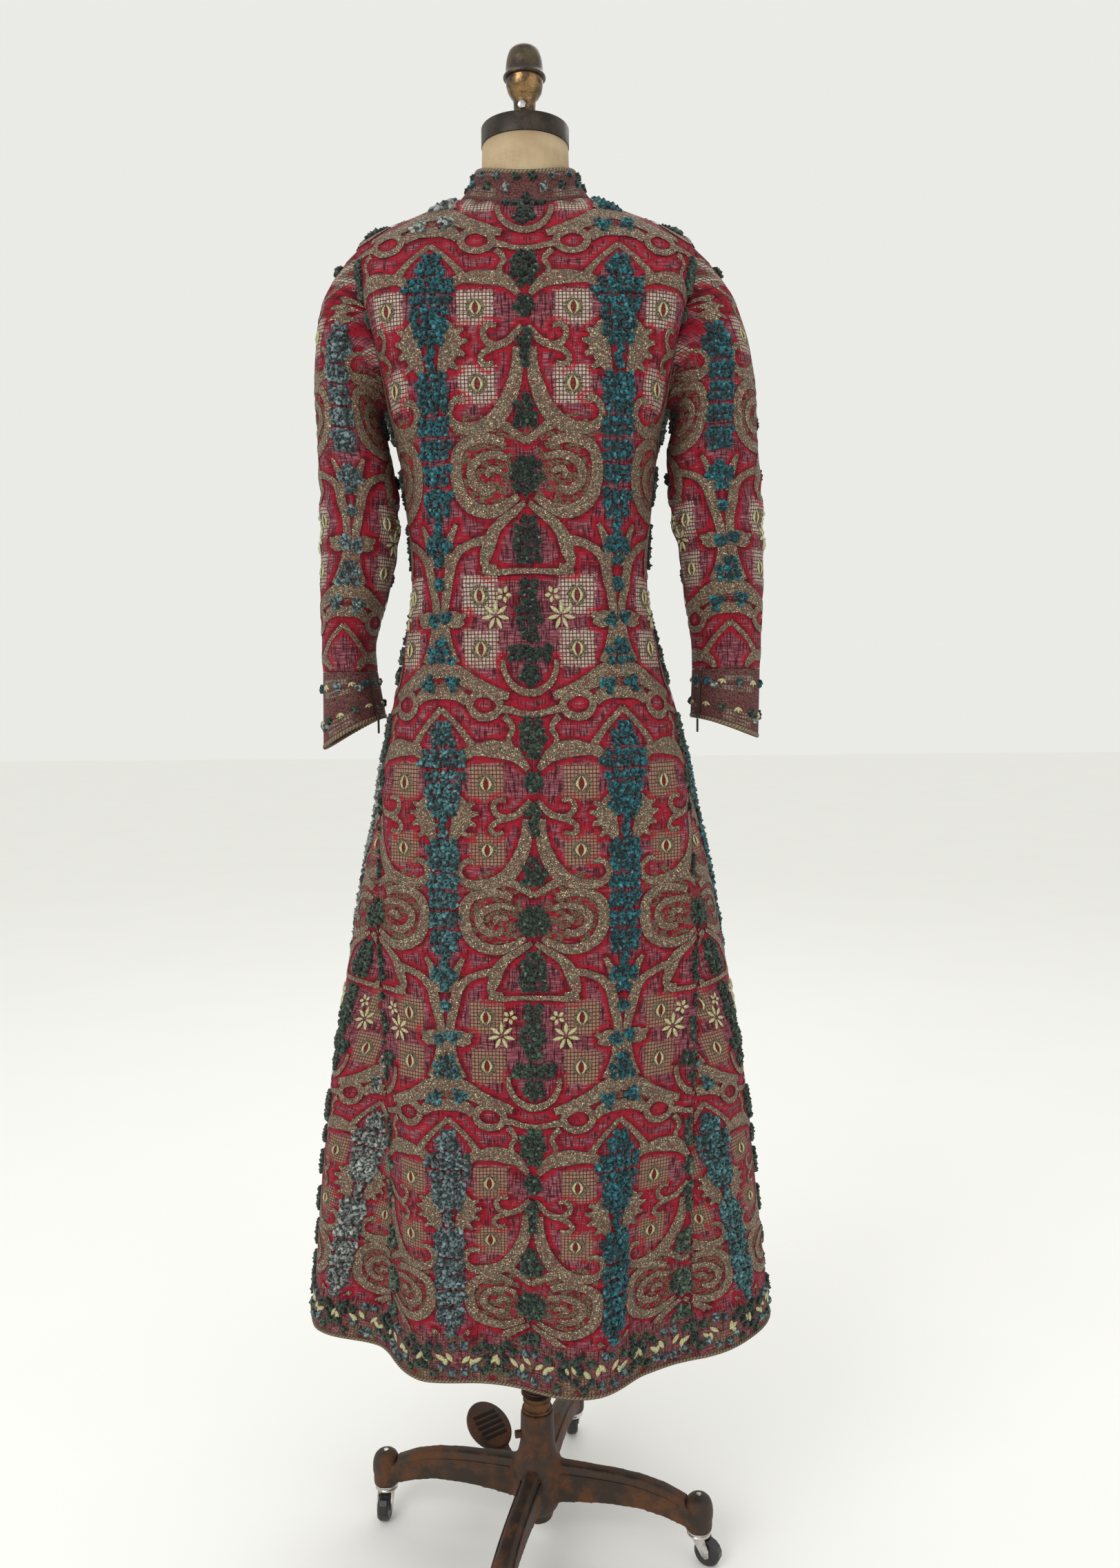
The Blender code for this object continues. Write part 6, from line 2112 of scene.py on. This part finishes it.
class Bench:
    """Modelling steps for the hard pieces."""

    @staticmethod
    def clear() -> None:
        """Leaves nothing selected."""
        if bpy.context.object and bpy.context.object.mode != "OBJECT":
            bpy.ops.object.mode_set(mode="OBJECT")
        bpy.ops.object.select_all(action="DESELECT")

    @staticmethod
    def settle(name: str, angle: float = 35.0) -> bpy.types.Object:
        """Names the active object, applies its place and smooths its shading."""
        made = bpy.context.object
        made.name = name
        bpy.ops.object.transform_apply(location=True, rotation=True, scale=True)
        bpy.ops.object.shade_smooth_by_angle(angle=math.radians(angle))
        return made

    @classmethod
    def turned(
        cls,
        name: str,
        profile: Sequence[tuple],
        centre: tuple = (0.0, 0.0),
        segments: int = 64,
        hollow: bool = False,
    ) -> bpy.types.Object:
        """A turned piece from a circle extruded up its profile.

        Args:
            name: Name of the piece.
            profile: Radii and heights, in order.
            centre: Place of the axis.
            segments: Sides of the circle.
            hollow: Whether its first and last circles are joined into a bore.

        Returns:
            The new object.
        """
        cls.clear()
        radius, height = profile[0]
        bpy.ops.mesh.primitive_circle_add(vertices=segments, radius=radius, location=(*centre, height))
        bpy.ops.object.mode_set(mode="EDIT")
        bpy.ops.mesh.select_all(action="SELECT")
        for (radius, height), (next_radius, next_height) in zip(profile, profile[1:]):
            rise = (0.0, 0.0, next_height - height)
            bpy.ops.mesh.extrude_edges_move(TRANSFORM_OT_translate={"value": rise})
            share = next_radius / radius
            bpy.ops.transform.resize(value=(share, share, 1.0), center_override=(*centre, next_height))
        if hollow:
            bpy.ops.mesh.select_all(action="DESELECT")
            bpy.ops.mesh.select_non_manifold()
            bpy.ops.mesh.bridge_edge_loops()
        else:
            bpy.ops.mesh.select_all(action="SELECT")
            bpy.ops.mesh.fill_holes(sides=0)
        bpy.ops.mesh.select_all(action="SELECT")
        bpy.ops.mesh.normals_make_consistent(inside=False)
        bpy.ops.object.mode_set(mode="OBJECT")
        return cls.settle(name)

    @classmethod
    def slab(cls, name: str, place: tuple, size: tuple, turn: tuple, bevel: float) -> bpy.types.Object:
        """A block with rounded edges.

        Args:
            name: Name of the piece.
            place: Its middle.
            size: Its full size.
            turn: Its rotation in degrees.
            bevel: Width of the rounding.

        Returns:
            The new object.
        """
        cls.clear()
        angles = tuple(math.radians(a) for a in turn)
        bpy.ops.mesh.primitive_cube_add(size=1.0, location=place, rotation=angles)
        bpy.context.object.scale = size
        bpy.ops.object.transform_apply(location=False, rotation=False, scale=True)
        bpy.ops.object.mode_set(mode="EDIT")
        bpy.ops.mesh.select_all(action="SELECT")
        bpy.ops.mesh.bevel(offset=bevel, segments=3, affect="EDGES")
        bpy.ops.object.mode_set(mode="OBJECT")
        return cls.settle(name)

    @classmethod
    def disc(cls, name: str, place: tuple, size: tuple, turn: tuple, bevel: float) -> bpy.types.Object:
        """An oval plate with rounded rims."""
        cls.clear()
        angles = tuple(math.radians(a) for a in turn)
        bpy.ops.mesh.primitive_cylinder_add(
            vertices=48, radius=0.5, depth=1.0, location=place, rotation=angles
        )
        bpy.context.object.scale = size
        bpy.ops.object.transform_apply(location=False, rotation=False, scale=True)
        bpy.ops.object.mode_set(mode="EDIT")
        bpy.ops.mesh.select_all(action="SELECT")
        bpy.ops.mesh.bevel(offset=bevel, segments=4, affect="EDGES")
        bpy.ops.object.mode_set(mode="OBJECT")
        return cls.settle(name)

    @classmethod
    def stud(
        cls, name: str, place: tuple, radius: float, length: float, turn: tuple, sides: int
    ) -> bpy.types.Object:
        """A short round or hexagonal head, chamfered at its outer end."""
        cls.clear()
        angles = tuple(math.radians(a) for a in turn)
        bpy.ops.mesh.primitive_cylinder_add(
            vertices=sides, radius=radius, depth=length, location=place, rotation=angles
        )
        bpy.ops.object.mode_set(mode="EDIT")
        bpy.ops.mesh.select_all(action="SELECT")
        bpy.ops.mesh.bevel(offset=radius * 0.16, segments=2, affect="EDGES")
        bpy.ops.object.mode_set(mode="OBJECT")
        return cls.settle(name)

    @classmethod
    def casting(
        cls, name: str, sources: Sequence[bpy.types.Object], voxel: float, rounds: int
    ) -> bpy.types.Object:
        """Copies of solids melted together with soft inner corners.

        Args:
            name: Name of the piece.
            sources: Objects whose meshes are copied.
            voxel: Size of the remeshing.
            rounds: Smoothing rounds.

        Returns:
            The new object.
        """
        cls.clear()
        edit = bmesh.new()
        for source in sources:
            part = source.data.copy()
            part.transform(source.matrix_world)
            edit.from_mesh(part)
            bpy.data.meshes.remove(part)
        mesh = bpy.data.meshes.new(name)
        edit.to_mesh(mesh)
        edit.free()
        made = bpy.data.objects.new(name, mesh)
        bpy.context.scene.collection.objects.link(made)
        made.select_set(True)
        bpy.context.view_layer.objects.active = made
        remesh = made.modifiers.new("melt", "REMESH")
        remesh.mode = "VOXEL"
        remesh.voxel_size = voxel
        remesh.use_smooth_shade = True
        bpy.ops.object.modifier_apply(modifier=remesh.name)
        smooth = made.modifiers.new("soften", "SMOOTH")
        smooth.factor = 0.5
        smooth.iterations = rounds
        bpy.ops.object.modifier_apply(modifier=smooth.name)
        made.data.shade_smooth()
        return made


def adopt(
    made: bpy.types.Object, finish: Finish, body: str,
    replaced: Sequence[str] = ()
) -> bpy.types.Object:
    """Gives a modelled piece its finish, its body and the nodes that it stands for."""
    made.data.materials.clear()
    made.data.materials.append(finish.material())
    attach(made, body)
    if replaced:
        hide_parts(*replaced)
    LOG.info("%s: %d faces on %s", made.name, len(made.data.polygons), body)
    return made


class Form:
    """The linen dress form under the robe, with its cap and finial."""

    centre = (RINGS[0, 7], 0.0)
    rows = 11.2
    cap = ((0.0490, 1.6603), (0.0495, 1.6606), (0.0495, 1.6800), (0.0489, 1.6810), (0.0200, 1.6813))
    finial = (
        (0.0142, 1.6813), (0.0142, 1.6826), (0.0126, 1.6840),
        (0.0124, 1.7000), (0.0126, 1.7100), (0.0132, 1.7125),
        (0.0156, 1.7155), (0.0188, 1.7205), (0.0206, 1.7275), (0.0209, 1.7340), (0.0205, 1.7372),
    )
    crown = (
        (0.0232, 1.7350), (0.0239, 1.7358), (0.0240, 1.7374),
        (0.0222, 1.7400), (0.0212, 1.7430), (0.0209, 1.7480),
        (0.0203, 1.7535), (0.0192, 1.7585), (0.0172, 1.7640),
        (0.0143, 1.7673), (0.0100, 1.7692), (0.0040, 1.7699),
    )

    def clearance(self, row: np.ndarray, angle: np.ndarray) -> np.ndarray:
        """How far the form lies inside the robe's outer surface."""
        loose = ease((row - 2.6) / 4.0)
        gap = CLOTH + 0.0065 + 0.0025 * loose
        seam = np.exp(-(((np.abs(angle) - 90.0) / 4.0) ** 2)) * ((row >= 1.1) & (row <= 2.0))
        return gap + (CLOTH + 0.0009 - gap) * seam

    def body(self) -> None:
        """The padded body and neck, as one closed linen skin."""
        angle = np.linspace(-180.0, 180.0, 73)[:-1]
        rings = []
        for z, radius, back_drop, front_drop in (
            (NECK_TOP, 0.0300, 0.0, 0.0),
            (NECK_TOP, NECK_RADIUS, 0.0, 0.0),
            (1.6450, NECK_RADIUS + 0.0003, 0.004, 0.013),
            (1.6300, NECK_RADIUS + 0.0008, 0.008, 0.030),
            (1.6120, NECK_RADIUS + 0.0030, 0.020, 0.060),
        ):
            turn = np.radians(angle)
            along = np.cos(turn)
            drop = np.where(along > 0, back_drop, front_drop) * along**2
            rings.append(
                np.stack((self.centre[0] + radius * np.sin(turn), -radius * along, z - drop), axis=-1)
            )
        for row in np.linspace(0.0, self.rows, 57):
            rows = np.full_like(angle, row)
            here = robe_points(rows, angle)
            down = robe_points(rows + 0.05, angle) - robe_points(rows - 0.05, angle)
            around = robe_points(rows, angle + 0.8) - robe_points(rows, angle - 0.8)
            normal = np.cross(down, around)
            normal /= np.linalg.norm(normal, axis=-1, keepdims=True)
            outward = np.sign((normal * np.stack((here[:, 0], here[:, 1], 0 * angle), axis=-1)).sum(axis=-1))
            rings.append(here - normal * (outward * self.clearance(rows, angle))[:, None])
        points = np.array(rings)
        points[-1, :, 2] = points[-1, :, 2].min()
        mesh = mesh_from("form_linen", points.reshape(-1, 3), grid_faces(len(points), len(angle), True))
        edit = bmesh.new()
        edit.from_mesh(mesh)
        bmesh.ops.holes_fill(edit, edges=[e for e in edit.edges if e.is_boundary], sides=0)
        bmesh.ops.recalc_face_normals(edit, faces=edit.faces)
        edit.to_mesh(mesh)
        edit.free()
        mesh.shade_smooth()
        add_piece("form_linen", mesh, Finish.LINEN, MAST, ["form_body"])

    def build(self) -> None:
        """Makes the form, its cap, its finial and the set screw."""
        self.body()
        adopt(
            Bench.turned("form_cap", self.cap, self.centre), Finish.BRONZE, MAST, ["neck_cap"]
        )
        lower = Bench.turned("finial_bulb", self.finial, self.centre)
        adopt(lower, Finish.BRASS, MAST, ["finial"])
        adopt(Bench.turned("finial_crown", self.crown, self.centre), Finish.LACQUER, MAST)
        screw = Bench.stud(
            "finial_set_screw", (-0.001, -0.0133, 1.7025), 0.0048, 0.0050, (90.0, 20.0, 0.0), 6
        )
        adopt(screw, Finish.CHROME, MAST, ["finial_screw"])


class Stand:
    """The cast base, its pedal and its casters."""

    legs = {"right": -13.0, "rear": 77.0, "left": 167.0, "front": 257.0}
    reach = 0.200
    race = (
        (0.0080, 0.0437), (0.0128, 0.0434), (0.0142, 0.0420),
        (0.0146, 0.0402), (0.0140, 0.0386), (0.0132, 0.0378),
        (0.0142, 0.0368), (0.0144, 0.0354), (0.0134, 0.0342), (0.0100, 0.0338),
    )
    bore = 0.0159
    bore_foot = 0.0450
    barrel_top = 0.1665
    boss_start = 0.1845
    boss_ceiling = 0.0715
    neck = (
        (0.0157, 0.1667), (0.0183, 0.1668), (0.0188, 0.1680),
        (0.0183, 0.1695), (0.0167, 0.1703), (0.0164, 0.1735),
        (0.0164, 0.1775), (0.0173, 0.1783), (0.0175, 0.1799),
        (0.0165, 0.1809), (0.0164, 0.1855), (0.0164, 0.1920),
        (0.0157, 0.1922),
    )
    boss = (
        (0.0166, 0.0560), (0.0171, 0.0585), (0.0172, 0.0650),
        (0.0168, 0.0697), (0.0158, 0.0742), (0.0140, 0.0782),
        (0.0112, 0.0812), (0.0074, 0.0830), (0.0030, 0.0836),
    )
    pad = (0.070, 0.056, 0.0088)
    slot_shadows = (-0.0170, -0.0092, -0.0014, 0.0064, 0.0142)
    sections = (
        (0.034, 0.1010, 0.0138), (0.055, 0.1005, 0.0128), (0.095, 0.0995, 0.0123), (0.130, 0.0960, 0.0123),
        (0.160, 0.0885, 0.0128), (0.178, 0.0805, 0.0131),
    )

    def build(self) -> None:
        """Makes the casting and the small metal on it."""
        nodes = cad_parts
        names = ["hub"] + [f"leg_{name}" for name in self.legs]
        casting = Bench.casting("base_casting", [nodes[name] for name in names], 0.0022, 9)
        self.ream(casting)
        adopt(casting, Finish.IRON, "base", names)
        for name, angle in self.legs.items():
            self.leg_beads(name, angle)
            turn = math.radians(angle)
            axis = (self.reach * math.cos(turn), self.reach * math.sin(turn))
            race = Bench.turned(f"caster_race_{name}", self.race, axis, 48)
            adopt(race, Finish.CHROME, f"swivel_{name}")
            adopt(Bench.turned(f"leg_boss_{name}", self.boss, axis, 48), Finish.IRON, "base")
            screw = Bench.stud(f"boss_screw_{name}", (*axis, 0.0838), 0.0030, 0.0022, (0.0, 0.0, 0.0), 20)
            adopt(screw, Finish.CHROME, "base")
        neck = Bench.turned("hub_neck", self.neck, (0.0, 0.0), 64, True)
        adopt(neck, Finish.RUST, "base", ["hub_collar"])
        self.tread()
        bolt = Bench.stud("hub_bolt", (-0.0235, -0.006, 0.1370), 0.0050, 0.0080, (0.0, 90.0, 12.0), 6)
        adopt(bolt, Finish.IRON, "base")

    def ream(self, casting: bpy.types.Object) -> None:
        """Opens the hub's bore again where the melting narrowed it, and thins the wall behind the neck."""
        for vertex in casting.data.vertices:
            place = vertex.co
            far = math.hypot(place.x, place.y)
            if place.z > self.barrel_top and far > self.bore + 0.0004:
                place.x *= (self.bore + 0.0004) / far
                place.y *= (self.bore + 0.0004) / far
            if far > self.boss_start:
                place.z = min(place.z, self.boss_ceiling)
            if far >= self.bore or place.z < self.bore_foot - 0.0005 or far == 0.0:
                continue
            if far > 0.5 * self.bore:
                place.x *= self.bore / far
                place.y *= self.bore / far
            else:
                place.z = min(place.z, self.bore_foot - 0.0005)

    def leg_beads(self, name: str, angle: float) -> None:
        """The cast bead along both sides of a leg, under its top edge."""
        turn = math.radians(angle)
        radial = np.array((math.cos(turn), math.sin(turn), 0.0))
        aside = np.array((-math.sin(turn), math.cos(turn), 0.0))
        table = np.array(self.sections)
        fine = smooth_values(table, np.linspace(0.0, len(table) - 1.0, 40))
        parts = MeshParts()
        for side in (-1, 1):
            path = fine[:, :1] * radial + side * (fine[:, 2:] - 0.0008) * aside
            path = path + np.array((0.0, 0.0, 1.0)) * (fine[:, 1:2] - 0.0085)
            steps = np.arange(8) * math.pi / 4
            ring = np.cos(steps)[None, :, None] * aside + np.sin(steps)[None, :, None] * np.array(
                (0.0, 0.0, 1.0)
            )
            points = path[:, None, :] + ring * 0.0014
            faces = grid_faces(len(path), 8, True)
            parts.add(points.reshape(-1, 3), faces, {})
        add_piece(f"leg_bead_{name}", parts.mesh(f"leg_bead_{name}"), Finish.IRON, "base")

    def tread(self) -> None:
        """The pedal with rounded edges, a plate behind its slots and dark bars painted as the shadow in the
        slots.
        """
        pedal = Bench.casting("foot_pedal", [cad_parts["pedal"]], 0.0011, 5)
        adopt(pedal, Finish.IRON, "pedal", ["pedal"])
        stand_off = Matrix.Rotation(math.radians(127.0), 4, "Z") @ Matrix.Translation((0.109, 0.0, 0.0874))
        tilt = stand_off @ Matrix.Rotation(math.radians(-24.0), 4, "Y")
        turn = (0.0, -24.0, 127.0)
        adopt(Bench.disc("pedal_pad", tuple(tilt.translation), self.pad, turn, 0.0030), Finish.IRON, "pedal")
        # Painted shadow: a near-black bar in each slot of the pedal.
        for number, along in enumerate(self.slot_shadows):
            place = tilt @ Vector((along, 0.0, self.pad[2] / 2))
            width = 0.036 * math.sqrt(1 - (along / 0.034) ** 2)
            bar = Bench.slab(f"pedal_groove_{number}", tuple(place), (0.0046, width, 0.0010), turn, 0.0003)
            adopt(bar, Finish.SHADOW, "pedal")


def dress_cad_nodes() -> None:
    """Gives each CAD node that stays its finish."""
    finishes = {"post": Finish.BRONZE, "hub_clip": Finish.BRONZE}
    for name in Stand.legs:
        finishes[f"fork_{name}"] = Finish.CHROME
        finishes[f"wheel_{name}"] = Finish.TYRE
    for side in SIDE_SIGN:
        for part in ("zip_chain", "zip_slider", "zip_pull"):
            finishes[f"{part}_{side}"] = Finish.ZIP
    for name, finish in finishes.items():
        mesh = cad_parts[name].data
        mesh.materials.clear()
        mesh.materials.append(finish.material())


class Studio:
    """A pale floor, soft light and the camera."""

    eye = (0.035, -1.42, 1.065)
    pitch = -5.0
    roll = -0.5
    lens = 27.72

    def build(self) -> None:
        """Makes the floor, the lamps and the camera."""
        bpy.ops.object.select_all(action="DESELECT")
        bpy.ops.mesh.primitive_plane_add(size=30.0, location=(0.0, 0.0, 0.0))
        floor = bpy.context.object
        floor.name = "studio_floor"
        material, graph, shader = new_material("studio_paper")
        grain = graph.noise(graph.position(), 3.0, 2.0)
        graph.link(
            graph.mix(grain, (0.94, 0.94, 0.92, 1.0), (0.97, 0.97, 0.95, 1.0)), shader.inputs["Base Color"]
        )
        shader.inputs["Roughness"].default_value = 1.0
        shader.inputs["Specular IOR Level"].default_value = 0.0
        floor.data.materials.append(material)
        world = bpy.data.worlds.new("studio")
        world.use_nodes = True
        background = world.node_tree.nodes["Background"]
        background.inputs["Color"].default_value = (0.83, 0.83, 0.795, 1.0)
        background.inputs["Strength"].default_value = 1.0
        bpy.context.scene.world = world
        self.lamp("key", (-1.7, -2.3, 2.6), (0.0, 0.0, 1.1), 34.0, 1.8)
        self.lamp("fill", (2.2, -1.8, 1.7), (0.0, 0.0, 0.9), 8.0, 2.0)
        self.lamp("top", (0.3, 1.6, 3.2), (0.0, 0.0, 1.0), 16.0, 2.0)
        bpy.context.scene.view_settings.view_transform = "Standard"
        data = bpy.data.cameras.new("photo_view")
        data.lens = self.lens
        data.sensor_width = 36.0
        camera = bpy.data.objects.new("photo_view", data)
        bpy.context.scene.collection.objects.link(camera)
        look = Matrix.Rotation(math.radians(90.0 + self.pitch), 4, "X") @ Matrix.Rotation(
            math.radians(self.roll), 4, "Z"
        )
        camera.matrix_world = Matrix.Translation(self.eye) @ look
        bpy.context.scene.camera = camera

    @staticmethod
    def lamp(name: str, place: tuple, aim: tuple, power: float, size: float) -> None:
        """A soft square lamp aimed at a point."""
        data = bpy.data.lights.new(name, "AREA")
        data.energy = power
        data.size = size
        made = bpy.data.objects.new(name, data)
        bpy.context.scene.collection.objects.link(made)
        direction = Vector(aim) - Vector(place)
        turned = direction.to_track_quat("-Z", "Y").to_matrix().to_4x4()
        made.matrix_world = Matrix.Translation(place) @ turned


def main() -> None:
    """Builds the robe, the stand and the studio in order."""
    Garment().build()
    Form().build()
    Stand().build()
    dress_cad_nodes()
    Studio().build()


if __name__ == "__main__":
    main()
